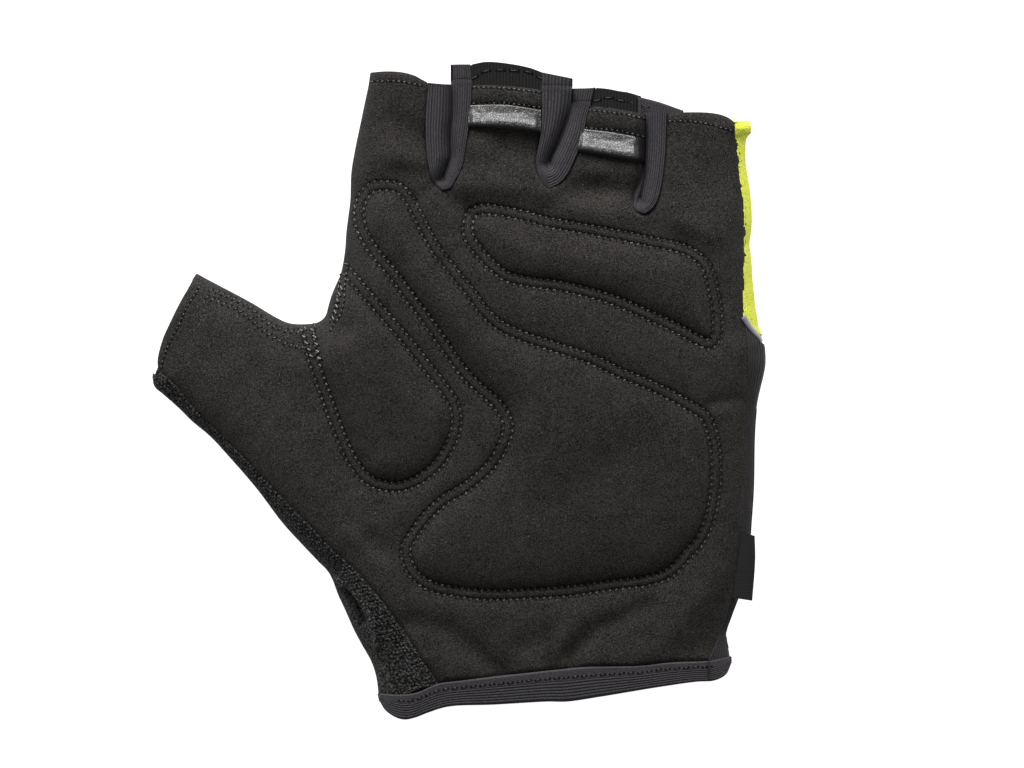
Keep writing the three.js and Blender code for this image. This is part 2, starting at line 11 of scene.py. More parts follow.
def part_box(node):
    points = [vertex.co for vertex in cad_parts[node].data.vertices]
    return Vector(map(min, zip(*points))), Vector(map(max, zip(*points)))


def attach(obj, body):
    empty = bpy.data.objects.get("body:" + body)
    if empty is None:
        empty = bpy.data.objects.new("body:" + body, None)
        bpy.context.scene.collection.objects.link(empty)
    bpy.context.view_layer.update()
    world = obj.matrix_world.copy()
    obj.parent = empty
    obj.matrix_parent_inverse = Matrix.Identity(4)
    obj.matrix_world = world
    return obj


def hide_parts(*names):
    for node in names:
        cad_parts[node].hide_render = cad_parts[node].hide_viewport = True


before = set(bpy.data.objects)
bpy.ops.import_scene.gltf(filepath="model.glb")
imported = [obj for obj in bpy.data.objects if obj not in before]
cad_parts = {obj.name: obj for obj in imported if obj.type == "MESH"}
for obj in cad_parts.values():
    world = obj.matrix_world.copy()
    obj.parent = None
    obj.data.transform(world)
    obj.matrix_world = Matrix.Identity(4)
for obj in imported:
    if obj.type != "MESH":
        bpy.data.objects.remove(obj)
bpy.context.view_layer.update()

random.seed(7)
COARSE = 1.0

# The photograph looks straight down on the glove: its scale, and the pixel over the frame's origin.
MM = 0.001  # metres
PIXEL = 0.25  # millimetres
ORIGIN_PIXEL = (457.5, 390.5)
PHOTO_SIZE = (1024, 768)

# Heights in millimetres: the seam between palm and back, and the tops of the pads and of the palm.
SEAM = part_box("back_panel")[1][2] / MM + 0.15
PAD_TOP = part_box("palm_panel")[1][2] / MM
PAD_RISE = 2.4
PALM_TOP = PAD_TOP - PAD_RISE
FLOOR_GAP = 0.25
# How far the relief stays under the CAD's highest point.
HEADROOM = 0.1
# The pads' swell and the channel round them, each with the length over which it settles, in millimetres.
PAD_SWELL = 1.95
PAD_REACH = 3.5
PAD_CHANNEL = 1.1
CHANNEL_REACH = 2.8
# Factors on the depths and spreads of the folds.
FOLD_DEPTH = 1.6
FOLD_SPREAD = 1.25
# How far in from the side seams and slits the palm rounds over, and the back from both, in millimetres.
SIDE_ROUND = 12.0
SLIT_ROUND = 3.4
SOLE_ROUND = 6.0

# How thick each cloth is, in millimetres.
SUEDE_WALL = 1.3
TAPE_WALL = 0.7
TERRY_WALL = 1.1
SIDE_WALL = 0.9
BACK_WALL = 1.2
CUFF_WALL = 1.5

# Stitches: spacing, length, thread radius and the gap between a pad's two rows, in millimetres.
STITCH_PITCH = 1.66
STITCH_LENGTH = 1.15
THREAD = 0.14
ROW_GAP = 2.35

# Outlines, as (x, y) pixels of the photograph.
THUMB_LOWER_SIDE = [
    (153, 377), (155, 386), (163, 393), (180, 408), (192, 420), (210, 435), (234, 461), (258, 489),
    (282, 521), (300, 541), (318, 560), (330, 573), (340, 597), (347, 612), (355, 630), (363, 645),
    (372, 661), (377, 676), (379, 690), (380, 702),
]
WEB_SIDE = [
    (196, 273), (203, 277), (250, 302), (277, 318), (289, 323), (305, 324), (318, 322), (325, 316),
    (328, 306), (331, 296), (335, 286), (340, 275), (343, 262), (345, 247), (346, 232), (348, 216),
    (350, 200), (351, 172), (355, 148), (360, 124), (365, 100), (368, 86), (370, 72),
]
RIGHT_SIDE = [
    (747, 121), (750, 126), (749.5, 132), (745.5, 138), (744.5, 148), (744.5, 160), (746, 172), (748, 184),
    (749.5, 196), (750.5, 208), (751, 220), (750, 232), (748.5, 244), (750, 256), (751, 268), (751.5, 280),
    (753, 292), (754, 304), (756, 316), (758, 328), (763.5, 340), (765, 352), (765, 365), (763, 376), (760, 388),
    (757, 402), (755, 420), (754, 440), (753, 490), (751, 520), (749, 545), (745, 572), (738, 597),
    (731, 616), (726, 631), (726, 640), (728, 650), (730, 662),
]
SLITS = [
    [(451, 64), (451, 84), (451, 117), (449.5, 129), (449, 143), (449.5, 157), (446.5, 167), (442, 179)],
    [(572.5, 72), (572, 90), (569, 112), (559, 140), (550.5, 158), (548.5, 164)],
    [(646.5, 100), (646.5, 114), (646.5, 130), (646.3, 150), (645.2, 166), (643, 181), (639.7, 200)],
]
# The borders of the tapes' arms on the palm: left and right of each slit.
TAPE_BORDERS = [
    (
        [(428, 84), (425.5, 116), (426, 145), (428, 164), (433, 180), (442.5, 190)],
        [
            (470, 64), (471, 74), (472, 84), (470, 118), (466.5, 143), (461.5, 168), (456, 179), (450, 188),
            (442.5, 190),
        ],
    ),
    (
        [(542, 72), (541.5, 90), (541.5, 120), (539.5, 140), (536, 163), (539.8, 178), (548.5, 189)],
        [
            (594, 88), (590, 106), (586.5, 120), (583, 140), (576, 157), (567.5, 174.5), (559, 184),
            (548.5, 189),
        ],
    ),
    (
        [
            (646, 114), (646, 132), (645.8, 150), (645, 164), (641.5, 180), (635.4, 197), (633.7, 206),
            (638, 211.5), (645, 213.8),
        ],
        [
            (667, 112), (666.5, 130), (666, 145), (665, 160), (662.3, 181), (657.3, 201), (652, 209),
            (645, 213.8),
        ],
    ),
]
# The same on the back, where the middle and ring fingers are longer.
BACK_BORDERS = [
    (
        [(428, 82), (426, 116), (427, 150), (432, 175), (442, 194)],
        [(470, 64), (470, 90), (469, 120), (466, 143), (461, 168), (455, 184), (442, 194)],
    ),
    (
        [(546, 73), (544, 95), (541, 125), (538, 155), (540, 176), (548, 192)],
        [(596, 87), (592, 106), (585, 130), (576, 155), (566, 176), (548, 192)],
    ),
    (
        [(640, 95), (640, 115), (638, 145), (635, 170), (631, 192), (634, 208), (645, 217)],
        [(668, 113), (668, 130), (667, 150), (664, 178), (659, 203), (653, 212), (645, 217)],
    ),
]
THUMB_END = [(158, 371), (157, 361), (162, 340), (170, 322), (180, 302), (189, 286), (196, 273)]
INDEX_END = [(370, 72), (386, 71), (402, 72), (416, 76), (428, 84)]
MIDDLE_END = [(472, 85), (492, 85), (520, 87), (542, 90)]
RING_END = [(593, 106), (612, 108), (630, 111), (646, 114)]
LITTLE_END = [(667, 113), (690, 112), (714, 113), (728, 117), (737, 124)]
THUMB_SEAM = [
    (158, 371), (175, 385), (190, 404), (205, 420), (220, 434), (250, 464), (270, 485), (290, 506),
    (307, 523), (324, 541), (336, 553), (352, 567), (368, 585), (384, 604), (397, 622), (409, 639),
    (421, 658), (431, 672), (438, 684),
]
BRIGHT_SEAM = [
    (737.5, 124), (737.5, 135), (739, 150), (741, 165), (742.5, 180), (744.5, 200), (745.5, 230),
    (745.5, 300), (746, 318),
]
GUSSET_SEAM = [
    (746, 320), (750, 345), (750, 372), (749, 410), (748, 450), (746, 500), (743, 533), (740, 560),
    (735, 590), (728, 620), (713, 655), (710, 661),
]
CUFF_TOP = [
    (379, 694), (397, 695), (416, 693), (438, 684), (460, 681), (494, 677), (547, 671), (590, 667),
    (638, 666), (668, 663), (710, 661), (730, 657),
]
CUFF_LOW = [
    (381, 701), (385, 710), (394, 717), (404, 720), (415, 718), (428, 713), (448, 707), (494, 705),
    (547, 702), (567, 702), (601, 697), (655, 688), (697, 682), (714, 681), (726, 675), (730, 664),
]
THUMB_BACK_SEAM = [(306, 324), (325, 345), (345, 400), (372, 480), (400, 560), (425, 640), (440, 690)]
PIPING_FRONT = [(744, 317), (747.5, 323), (753, 330.5), (759, 337), (762.5, 342)]
PIPING_BACK = [
    (763, 345), (761.5, 362), (748, 382), (730, 396), (712, 402), (694, 398), (678, 386), (665, 366),
    (657, 342), (650, 310), (646, 282), (644, 250), (645, 220),
]
GUSSET_BACK = [
    (764, 350), (762, 367), (748, 387), (731, 401), (713, 407), (709, 440), (706, 480), (698, 560),
    (690, 640), (688, 668),
]
BACK_ENDS = [
    [(370, 72), (386, 71), (402, 72), (416, 76), (428, 82)],
    [(470, 64), (486, 61), (510, 63), (530, 67), (546, 73)],
    [(596, 87), (608, 88), (618, 90), (630, 92), (640, 95)],
]
# Where each arm's fold into its slit begins: the fingers' backs are longer than their palm sides.
SLIT_TOPS = [((450, 84), (451, 64)), ((571, 77), (574, 88)), ((647, 114), (647, 113))]
# Where each arm leaves the palm's finger end and drops to the back: left and right of each slit.
ARM_ENDS = [(84, 84), (90, 106), (100, 100)]
# The taped edge of the ring finger's back, behind the little finger.
RING_FLAP = [[(638, 96), (658, 101), (684, 110)], [(638, 118), (660, 123), (682, 124)]]

# Pads under the suede: the outer of their two stitch rows.
MAIN_PAD = [
    (370, 183), (386, 181), (401, 184), (415, 200), (428, 226), (440, 247), (461, 274), (474, 290),
    (488, 309), (503, 322), (524, 332), (557, 343), (593, 355), (620, 368), (658, 384), (690, 401),
    (709, 414), (718, 438), (721, 465), (720, 490), (715, 517), (706, 540), (691, 558), (672, 577),
    (651, 585), (613, 590), (569, 596), (524, 599), (490, 600), (457, 597), (430, 591), (412, 579),
    (403, 563), (401, 548), (409, 533), (423, 514), (441, 497), (464, 483), (486, 464), (498, 445),
    (503, 425), (494, 408), (475, 391), (457, 372), (444, 353), (420, 319), (405, 299), (390, 278),
    (370, 254), (357, 230), (354, 214), (358, 196),
]
KNUCKLE_PAD = [
    (463, 226), (467, 212), (480, 205), (520, 210), (550, 218), (600, 227), (650, 237), (690, 247),
    (710, 264), (718, 290), (722, 315), (721, 338), (711, 349), (697, 345), (675, 333), (645, 319),
    (615, 306), (590, 298), (560, 291), (530, 287), (505, 281), (490, 270), (474, 253), (465, 240),
]
THUMB_PAD = [
    (312, 302), (305, 325), (305, 345), (309, 362), (324, 405), (337, 440), (350, 466), (366, 484),
    (393, 492), (415, 487), (436, 473), (452, 452), (461, 426), (459, 405), (449, 388), (430, 363),
    (405, 332), (378, 301), (352, 270), (330, 244),
]

# Soft folds and hollows: from, to (pixels), depth and spread (millimetres). A negative depth stands up.
FOLDS = [
    ([(392, 122), (424, 140)], 0.95, 3.0), ([(388, 156), (412, 160)], -0.5, 2.2),
    ([(398, 172), (420, 176)], 0.35, 2.2), ([(418, 200), (430, 188)], 0.5, 1.5),
    ([(451, 197), (472, 217)], 0.6, 1.8), ([(505, 146), (540, 150)], 0.9, 3.0),
    ([(472, 152), (486, 150)], -0.35, 2.0), ([(468, 184), (545, 190)], -0.85, 2.6),
    ([(584, 192), (636, 196)], 1.3, 3.2), ([(590, 171), (604, 172)], -0.4, 1.8),
    ([(575, 206), (634, 210)], -0.6, 2.3), ([(684, 226), (720, 238)], -0.6, 2.4),
    ([(655, 226), (690, 240)], 0.5, 2.4), ([(700, 170), (728, 176)], 0.35, 3.5),
    ([(545, 500), (645, 440)], 0.5, 4.5), ([(500, 440), (530, 425)], -0.25, 3.5),
    ([(580, 540), (640, 530)], -0.3, 4.5), ([(712, 404), (742, 400)], 0.5, 1.4),
    ([(412, 622), (450, 632), (476, 652), (498, 671)], 0.75, 2.4), ([(422, 662), (455, 670)], -0.4, 2.6),
    ([(524, 646), (544, 640)], 0.5, 2.4), ([(579, 616), (556, 650)], -0.45, 2.0),
    ([(646, 606), (602, 628), (570, 656)], 0.7, 2.1), ([(604, 660), (640, 656)], -0.45, 2.8),
    ([(724, 572), (656, 650)], -0.45, 2.6), ([(690, 655), (722, 634)], 0.4, 2.4),
    ([(372, 540), (384, 548)], 0.5, 2.3), ([(348, 538), (356, 540)], -0.4, 2.0),
    ([(380, 600), (430, 688)], 0.3, 2.4), ([(250, 350), (300, 400)], 0.3, 5.0),
    ([(345, 330), (320, 344)], 0.5, 1.8), ([(455, 262), (450, 212)], 0.3, 2.6),
]
# Patches of painted sheen and painted shade on the suede, lighter or darker by how light plays on its nap:
# pixel, spread in millimetres, and share of the tone.
PAINTED_SHEEN_PATCHES = [
    ((600, 470), 27, -0.22), ((450, 560), 14, -0.08), ((380, 400), 15, -0.16), ((480, 340), 12, -0.14),
    ((395, 120), 12, -0.06), ((610, 205), 9, 0.1), ((220, 340), 22, 0.18), ((360, 540), 13, 0.16),
    ((700, 180), 14, 0.04),
]


def plan(x, y):
    """A pixel's place on the glove's plan, in millimetres."""
    return ((x - ORIGIN_PIXEL[0]) * PIXEL, (ORIGIN_PIXEL[1] - y) * PIXEL)


def arc_of(points):
    """The length along a line at each of its points."""
    return np.concatenate([[0], np.cumsum(np.linalg.norm(np.diff(points, axis=0), axis=1))])


def resample(points, step=None, count=None, closed=False):
    """The same line with evenly spaced points."""
    points = np.asarray(points, float)
    if closed:
        points = np.vstack([points, points[:1]])
    arc = arc_of(points)
    count = count or max(int(round(arc[-1] / step)), 1) + 1
    at = np.linspace(0, arc[-1], count)
    line = np.stack([np.interp(at, arc, points[:, k]) for k in range(points.shape[1])], axis=1)
    return line[:-1] if closed else line


def smooth(pixels, step=0.5, closed=False):
    """An evenly spaced curve through pixels of the photograph, on the plan in millimetres."""
    knots = np.array([plan(*p) for p in pixels])
    if closed:
        knots = np.vstack([knots[-2:], knots, knots[:3]])
    else:
        knots = np.vstack([2 * knots[0] - knots[1], knots, 2 * knots[-1] - knots[-2]])
    t = np.concatenate([[0], np.cumsum(np.linalg.norm(np.diff(knots, axis=0), axis=1) ** 0.5)])
    pieces = []
    last = len(knots) - (3 if closed else 2)
    for i in range(2 if closed else 1, last):
        p, q = knots[i], knots[i + 1]
        span = t[i + 1] - t[i]
        slopes = []
        for k in (i, i + 1):
            before = (knots[k] - knots[k - 1]) / (t[k] - t[k - 1])
            after = (knots[k + 1] - knots[k]) / (t[k + 1] - t[k])
            share = (t[k] - t[k - 1]) / (t[k + 1] - t[k - 1])
            slopes.append((before * (1 - share) + after * share) * span)
        s = np.linspace(0, 1, 12, endpoint=False)[:, None]
        pieces.append(
            p * (2 * s**3 - 3 * s**2 + 1)
            + slopes[0] * (s**3 - 2 * s**2 + s)
            + q * (3 * s**2 - 2 * s**3)
            + slopes[1] * (s**3 - s**2)
        )
    line = np.vstack(pieces)
    if not closed:
        line = np.vstack([line, knots[last]])
    return resample(line, step, closed=closed)


def extended(line, start=0.0, end=0.0):
    """The line run straight on at its ends."""
    line = np.asarray(line)
    first = line[0] + (line[0] - line[3]) / np.linalg.norm(line[0] - line[3]) * start
    last = line[-1] + (line[-1] - line[-4]) / np.linalg.norm(line[-1] - line[-4]) * end
    return np.vstack([first[None], line, last[None]])


def headings(line, closed=False):
    """Unit directions along a line."""
    if closed:
        way = np.roll(line, -1, axis=0) - np.roll(line, 1, axis=0)
    else:
        way = np.gradient(line, axis=0)
    return way / np.maximum(np.linalg.norm(way, axis=1, keepdims=True), 1e-9)


def leftward(line, closed=False):
    """Unit directions to the left of a line."""
    way = headings(line, closed)
    return np.stack([-way[:, 1], way[:, 0]], axis=1)


def beside(line, distance, closed=False):
    """The line moved sideways to its left."""
    return line + leftward(line, closed) * distance


def tree_of(points):
    """A search tree of spots of the plan."""
    tree = KDTree(len(points))
    for i, (x, y) in enumerate(points):
        tree.insert((x, y, 0), i)
    tree.balance()
    return tree


class Track:
    """A line on the plan that distances are measured from."""

    def __init__(self, line, closed=False):
        self.line = resample(line, 0.4, closed=closed)
        if closed:
            self.line = np.vstack([self.line, self.line[:1]])
        self.arc = arc_of(self.line)
        self.tree = tree_of(self.line)

    def near(self, spots):
        """For each spot: its distance, the arc length beside it, and 1 left of the line or -1 right."""
        nearest = np.array([self.tree.find((x, y, 0))[1] for x, y in spots])
        best = np.full(len(spots), 1e9)
        arc = np.zeros(len(spots))
        side = np.ones(len(spots))
        for shift in (-1, 0):
            i = np.clip(nearest + shift, 0, len(self.line) - 2)
            a, b = self.line[i], self.line[i + 1]
            ab = b - a
            share = np.clip(((spots - a) * ab).sum(1) / (ab * ab).sum(1), 0, 1)
            gap = spots - a - ab * share[:, None]
            distance = np.linalg.norm(gap, axis=1)
            cross = ab[:, 0] * gap[:, 1] - ab[:, 1] * gap[:, 0]
            closer = distance < best
            best = np.where(closer, distance, best)
            arc = np.where(closer, self.arc[i] + share * (self.arc[i + 1] - self.arc[i]), arc)
            side = np.where(closer, np.where(cross >= 0, 1, -1), side)
        return best, arc, side


def dome(t):
    """A quarter circle's rise, from 0 at t = 0 to 1 at t = 1."""
    t = np.clip(t, 0, 1)
    return np.sqrt(1 - (1 - t) ** 2)


def ripple(spots, scale, seed):
    """Smooth noise over the plan, about -1 to 1, with features of the scale in millimetres."""
    return np.array([noise.noise(Vector((x / scale, y / scale, seed))) for x, y in spots])


def eased(t):
    """A smooth step from 0 to 1."""
    t = np.clip(t, 0, 1)
    return t * t * (3 - 2 * t)


side_lines = {
    "thumb": smooth(THUMB_LOWER_SIDE),
    "web": smooth(WEB_SIDE),
    "right": smooth(RIGHT_SIDE),
}
side_tracks = [Track(extended(line, 20, 20)) for line in side_lines.values()]
slit_lines = [smooth(pixels) for pixels in SLITS]
slit_tracks = [Track(extended(line, 20, 0)) for line in slit_lines]
pad_lines = [
    smooth(MAIN_PAD, closed=True)[::-1],
    smooth(KNUCKLE_PAD, closed=True)[::-1],
    smooth(THUMB_PAD),
]
pad_closed = [True, True, False]
pad_tracks = [Track(line, closed) for line, closed in zip(pad_lines, pad_closed)]
# Which side of its row a pad is on: 1 left, -1 right.
pad_sides = []
for line, closed in zip(pad_lines, pad_closed):
    x, y = line.T
    area = (x * np.roll(y, -1) - np.roll(x, -1) * y).sum()
    pad_sides.append(1 if area > 0 else -1)


def plain_height(spots):
    """The palm's full height before its edges, pads and folds."""
    x, y = spots.T
    hand = np.interp(
        y,
        [-82, -72, -55, -30, 30, 42, 50, 62, 82],
        [PALM_TOP * s for s in (0.76, 0.83, 0.93, 1, 1, 0.965, 0.9, 0.86, 0.83)],
    )
    thumb = np.interp(x, [-76, -60, -45, -32, -20], [PALM_TOP * s for s in (0.8, 0.83, 0.89, 0.97, 1.01)])
    return np.minimum(hand, thumb)


def edge_shape(spots, side_round, slit_round):
    """How far the cloth stands up from the side seams and slits, from 0 to 1."""
    side = np.minimum.reduce([track.near(spots)[0] for track in side_tracks])
    slit = np.minimum.reduce([track.near(spots)[0] for track in slit_tracks])
    return dome((side - 0.004) / side_round) * dome(slit / slit_round)


def pad_relief(spots):
    """The pads' rise, the channel between their stitch rows and the puckers at the stitches."""
    relief = np.zeros(len(spots))
    for track, sign in zip(pad_tracks, pad_sides):
        distance, arc, side = track.near(spots)
        inside = distance * side * sign
        swell = 1 - np.exp(-np.clip(inside - ROW_GAP, 0, None) / PAD_REACH)
        channel = np.exp(-np.clip(-inside, 0, None) / CHANNEL_REACH)
        relief += (PAD_CHANNEL + PAD_SWELL) * swell - PAD_CHANNEL * channel
        relief += 0.22 * np.exp(-(((inside - ROW_GAP / 2) / 0.6) ** 2))
        for row in (0, ROW_GAP):
            across = inside - row
            relief -= 0.26 * np.exp(-((across / 0.4) ** 2))
            pull = np.cos(2 * math.pi * arc / STITCH_PITCH)
            relief -= 0.07 * pull * np.exp(-((across / 0.8) ** 2))
    return relief


def fold_relief(spots):
    """Folds, hollows and the suede's slow waves."""
    relief = 0.2 * ripple(spots, 13, 1.7) + 0.12 * ripple(spots, 5, 8.2) + 0.03 * ripple(spots, 1.7, 4.4)
    for pixels, depth, spread in FOLDS:
        line = np.array([plan(*p) for p in pixels])
        away = np.full(len(spots), 1e9)
        for a, b in zip(line, line[1:]):
            share = np.clip(((spots - a) @ (b - a)) / ((b - a) @ (b - a)), 0, 1)
            away = np.minimum(away, np.linalg.norm(spots - a - share[:, None] * (b - a), axis=1))
        relief -= FOLD_DEPTH * depth * np.exp(-((away / (FOLD_SPREAD * spread)) ** 2))
    return relief


def suede_painted_shading(spots):
    """Painted sheen and shade on the suede: its lighter and darker patches, and painted shade in the grooves
    along the stitch rows.
    """
    tone = np.ones(len(spots))
    # Patches of painted sheen and painted shade.
    for pixel, spread, share in PAINTED_SHEEN_PATCHES:
        away = np.linalg.norm(spots - np.array(plan(*pixel)), axis=1)
        tone += share * np.exp(-((away / spread) ** 2))
    # Painted shade in the grooves along each pad's two stitch rows.
    for track, sign in zip(pad_tracks, pad_sides):
        distance, _, side = track.near(spots)
        inside = distance * side * sign
        for row in (0, ROW_GAP):
            tone *= 1 - 0.35 * np.exp(-(((inside - row) / 0.42) ** 2))
    return tone


def top_of(spots, detail=True):
    """Height of the palm side over spots of the plan."""
    spots = np.asarray(spots, float)
    shape = edge_shape(spots, SIDE_ROUND, SLIT_ROUND)
    height = SEAM + (plain_height(spots) - SEAM) * shape
    if detail:
        height += (pad_relief(spots) + fold_relief(spots)) * np.clip(shape * 1.2 - 0.2, 0, 1)
    return np.minimum(height, PAD_TOP - HEADROOM)


def sole_of(spots):
    """Height of the back of the glove, pressed flat where it lies."""
    spots = np.asarray(spots, float)
    shape = edge_shape(spots, SOLE_ROUND, SOLE_ROUND)
    return SEAM - (SEAM - FLOOR_GAP) * shape


# Building meshes.
materials = {}


def object_of(name, vertices, faces, thickness=0.0, sharp=50, tone=None):
    """A mesh object from millimetre vertices, with the cloth's thickness behind its face."""
    mesh = bpy.data.meshes.new(name)
    mesh.from_pydata([Vector(v) * MM for v in vertices], [], [list(f) for f in faces])
    shade = mesh.attributes.new("tone", "FLOAT", "POINT")
    values = np.ones(len(vertices)) if tone is None else np.asarray(tone).ravel()
    shade.data.foreach_set("value", values.astype(np.float32))
    obj = bpy.data.objects.new(name, mesh)
    bpy.context.scene.collection.objects.link(obj)
    if thickness:
        wall = obj.modifiers.new("wall", "SOLIDIFY")
        wall.thickness = thickness * MM
        wall.offset = -1
        bpy.context.view_layer.update()
        graph = bpy.context.evaluated_depsgraph_get()
        solid = bpy.data.meshes.new_from_object(obj.evaluated_get(graph))
        obj.modifiers.clear()
        obj.data = solid
        bpy.data.meshes.remove(mesh)
        solid.name = name
    obj.data.shade_smooth()
    obj.data.set_sharp_from_angle(angle=math.radians(sharp))
    return obj


def dress(obj, material, nodes=()):
    """Gives a piece its material and its body, and hides the CAD nodes that it stands for."""
    obj.data.materials.clear()
    obj.data.materials.append(materials[material])
    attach(obj, "root")
    if nodes:
        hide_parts(*nodes)


def inside_of(polygon, spots):
    """Which spots lie inside a closed outline."""
    inside = np.zeros(len(spots), bool)
    x, y = spots.T
    for (ax, ay), (bx, by) in zip(polygon, np.roll(polygon, -1, axis=0)):
        if ay == by:
            continue
        crosses = ((ay > y) != (by > y)) & (x < (bx - ax) * (y - ay) / (by - ay) + ax)
        inside ^= crosses
    return inside


def mesh_plan(outline, spacing, rows=()):
    """Triangles over an outline of the plan, with extra points on rows."""
    outline = resample(outline, min(spacing, 0.7), closed=True)
    low, high = outline.min(axis=0), outline.max(axis=0)
    xs = np.arange(low[0], high[0], spacing)
    ys = np.arange(low[1], high[1], spacing * 0.87)
    grid = np.array([(x + (j % 2) * spacing / 2, y) for j, y in enumerate(ys) for x in xs])
    extra = np.vstack(rows) if len(rows) else np.zeros((0, 2))
    if len(extra):
        extra = extra[inside_of(outline, extra)]
    tree = tree_of(np.vstack([outline, extra]))
    edge = tree_of(outline)
    grid = grid[inside_of(outline, grid)]
    grid = np.array([p for p in grid if tree.find((p[0], p[1], 0))[2] > 0.55 * spacing])
    extra = np.array([p for p in extra if edge.find((p[0], p[1], 0))[2] > 0.12]).reshape(-1, 2)
    points = [Vector(p) for p in np.vstack([outline, extra, grid])]
    loop = list(range(len(outline)))
    found = geometry.delaunay_2d_cdt(points, [], [loop], 1, 1e-4)
    spots = np.array([tuple(p) for p in found[0]])
    faces = np.array([f for f in found[2] if len(f) == 3])
    a, b, c = spots[faces[:, 0]], spots[faces[:, 1]], spots[faces[:, 2]]
    turn = (b[:, 0] - a[:, 0]) * (c[:, 1] - a[:, 1]) - (b[:, 1] - a[:, 1]) * (c[:, 0] - a[:, 0])
    faces[turn < 0] = faces[turn < 0][:, ::-1]
    return spots, faces


def strip(lines, steps, shares, heights, relief=None):
    """A grid of points from line to line, its tone, and whether its faces need turning to look outwards.

    Lines with no steps are matched already, point by point.
    """
    if steps:
        lines = [resample(line, count=steps + 1) for line in lines]
    columns, along = [], []
    for k, (a, b, between, height) in enumerate(zip(lines, lines[1:], shares, heights)):
        for share in between:
            spots = a * (1 - share) + b * share
            columns.append(np.column_stack([spots, height(spots)]))
            along.append(k + share)
    grid = np.stack(columns, axis=1)
    normal = normals_of(grid)
    inward = normal[:, 1 : max(2, len(shares[0]) // 3), 2].mean() < 0
    if inward:
        normal = -normal
    tone = np.ones(grid.shape[:2])
    if relief is not None:
        width = np.linalg.norm(np.diff(grid, axis=1), axis=2)
        width = np.concatenate([np.zeros((len(grid), 1)), np.cumsum(width, axis=1)], axis=1)
        length = np.linalg.norm(np.diff(grid, axis=0), axis=2)
        length = np.concatenate([np.zeros((1, grid.shape[1])), np.cumsum(length, axis=0)], axis=0)
        rise, tone = relief(width, length, np.array(along)[None, :], grid)
        grid = grid + normal * rise[..., None]
    return grid, tone * np.ones(grid.shape[:2]), inward


def blurred(values, axis, wrap):
    """Values averaged with their neighbours along an axis."""
    total = np.zeros_like(values)
    for shift, weight in ((-2, 1), (-1, 2), (0, 3), (1, 2), (2, 1)):
        if wrap:
            total += weight * np.roll(values, shift, axis)
        else:
            at = np.clip(np.arange(values.shape[axis]) + shift, 0, values.shape[axis] - 1)
            total += weight * np.take(values, at, axis)
    return total


def normals_of(grid, ring=False, loop=False):
    """Unit normals of a grid of points, which may be closed along its rows or its columns."""
    along = np.roll(grid, -1, 0) - np.roll(grid, 1, 0) if ring else np.gradient(grid, axis=0)
    across = np.roll(grid, -1, 1) - np.roll(grid, 1, 1) if loop else np.gradient(grid, axis=1)
    normal = np.cross(along, across)
    normal = blurred(blurred(normal, 1, loop), 0, ring)
    return normal / np.maximum(np.linalg.norm(normal, axis=2, keepdims=True), 1e-12)


def grid_faces(grid, flip=False, ring=False, loop=False, start=0):
    """Quads over a grid of vertices."""
    rows, columns = grid.shape[:2]
    faces = []
    for i in range(rows if ring else rows - 1):
        for j in range(columns if loop else columns - 1):
            k, m = (i + 1) % rows, (j + 1) % columns
            quad = [i * columns + j, k * columns + j, k * columns + m, i * columns + m]
            faces.append([start + n for n in (quad[::-1] if flip else quad)])
    return faces


def merged(grids, flips):
    """One list of vertices and faces from several grids."""
    vertices, faces = [], []
    for grid, flip in zip(grids, flips):
        faces += grid_faces(grid, flip, start=len(vertices))
        vertices += [tuple(v) for v in grid.reshape(-1, 3)]
    return vertices, faces


def in_turn(left, right, reach, counts):
    """Two lines that meet at a slit's foot, as one line down, round and up, with its points for each."""
    left, right = resample(left, 0.1), resample(right, 0.1)
    back = int(round(reach / 0.1))
    turn = np.vstack([left[-back - 1 :], right[-back - 1 : -1][::-1]])
    return matched([left[:-back], turn, right[:-back][::-1]], counts)


def matched(parts, counts):
    """Lines run together, each with its own number of points."""
    line = [resample(part, count=count + 1)[:-1] for part, count in zip(parts, counts)]
    return np.vstack(line + [parts[-1][-1:]])


def cut(line, start=None, end=None):
    """The stretch of a line between the points nearest two pixels."""
    at = [0, len(line) - 1]
    for k, pixel in enumerate((start, end)):
        if pixel:
            at[k] = int(np.argmin(np.linalg.norm(line - np.array(plan(*pixel)), axis=1)))
    return line[at[0] : at[1] + 1]


def joined(*parts):
    """Lines run together into one, without doubled points."""
    line = [parts[0][0]]
    for part in parts:
        for p in part:
            if np.linalg.norm(p - line[-1]) > 0.12:
                line.append(p)
    return np.array(line)


def spaced(count, crowd_end=True):
    """Shares from 0 towards 1, crowded where the cloth turns down the side."""
    t = np.arange(count) / count
    full = 0.96 * math.pi / 2
    return list(np.sin(t * full) / math.sin(full)) if crowd_end else list(1 - np.cos(t * math.pi / 2))


def ribs(count, depth, edge_width=0.8, edge_depth=0.45, waviness=0.0, painted_groove_shade=0.5):
    """Ribs that follow a strip's length, with its long edges turned under, and painted shade in the rib grooves
    and on the turned edges.
    """

    def relief(width, length, share, grid):
        drift = 0
        if waviness:
            flat = grid[..., :2].reshape(-1, 2)
            drift = waviness * ripple(flat, 6, 3.3).reshape(width.shape)
        wave = np.abs(np.sin(math.pi * (share * count + drift))) ** 0.8
        near = np.minimum(width, width[:, -1:] - width)
        edge = 1 - dome(near / edge_width)
        # Painted shade: darker in the rib grooves and where the long edges turn under.
        tone = (1 - painted_groove_shade + 1.25 * painted_groove_shade * wave) * (1 - 0.35 * edge)
        return depth * wave - edge_depth * edge, tone

    return relief


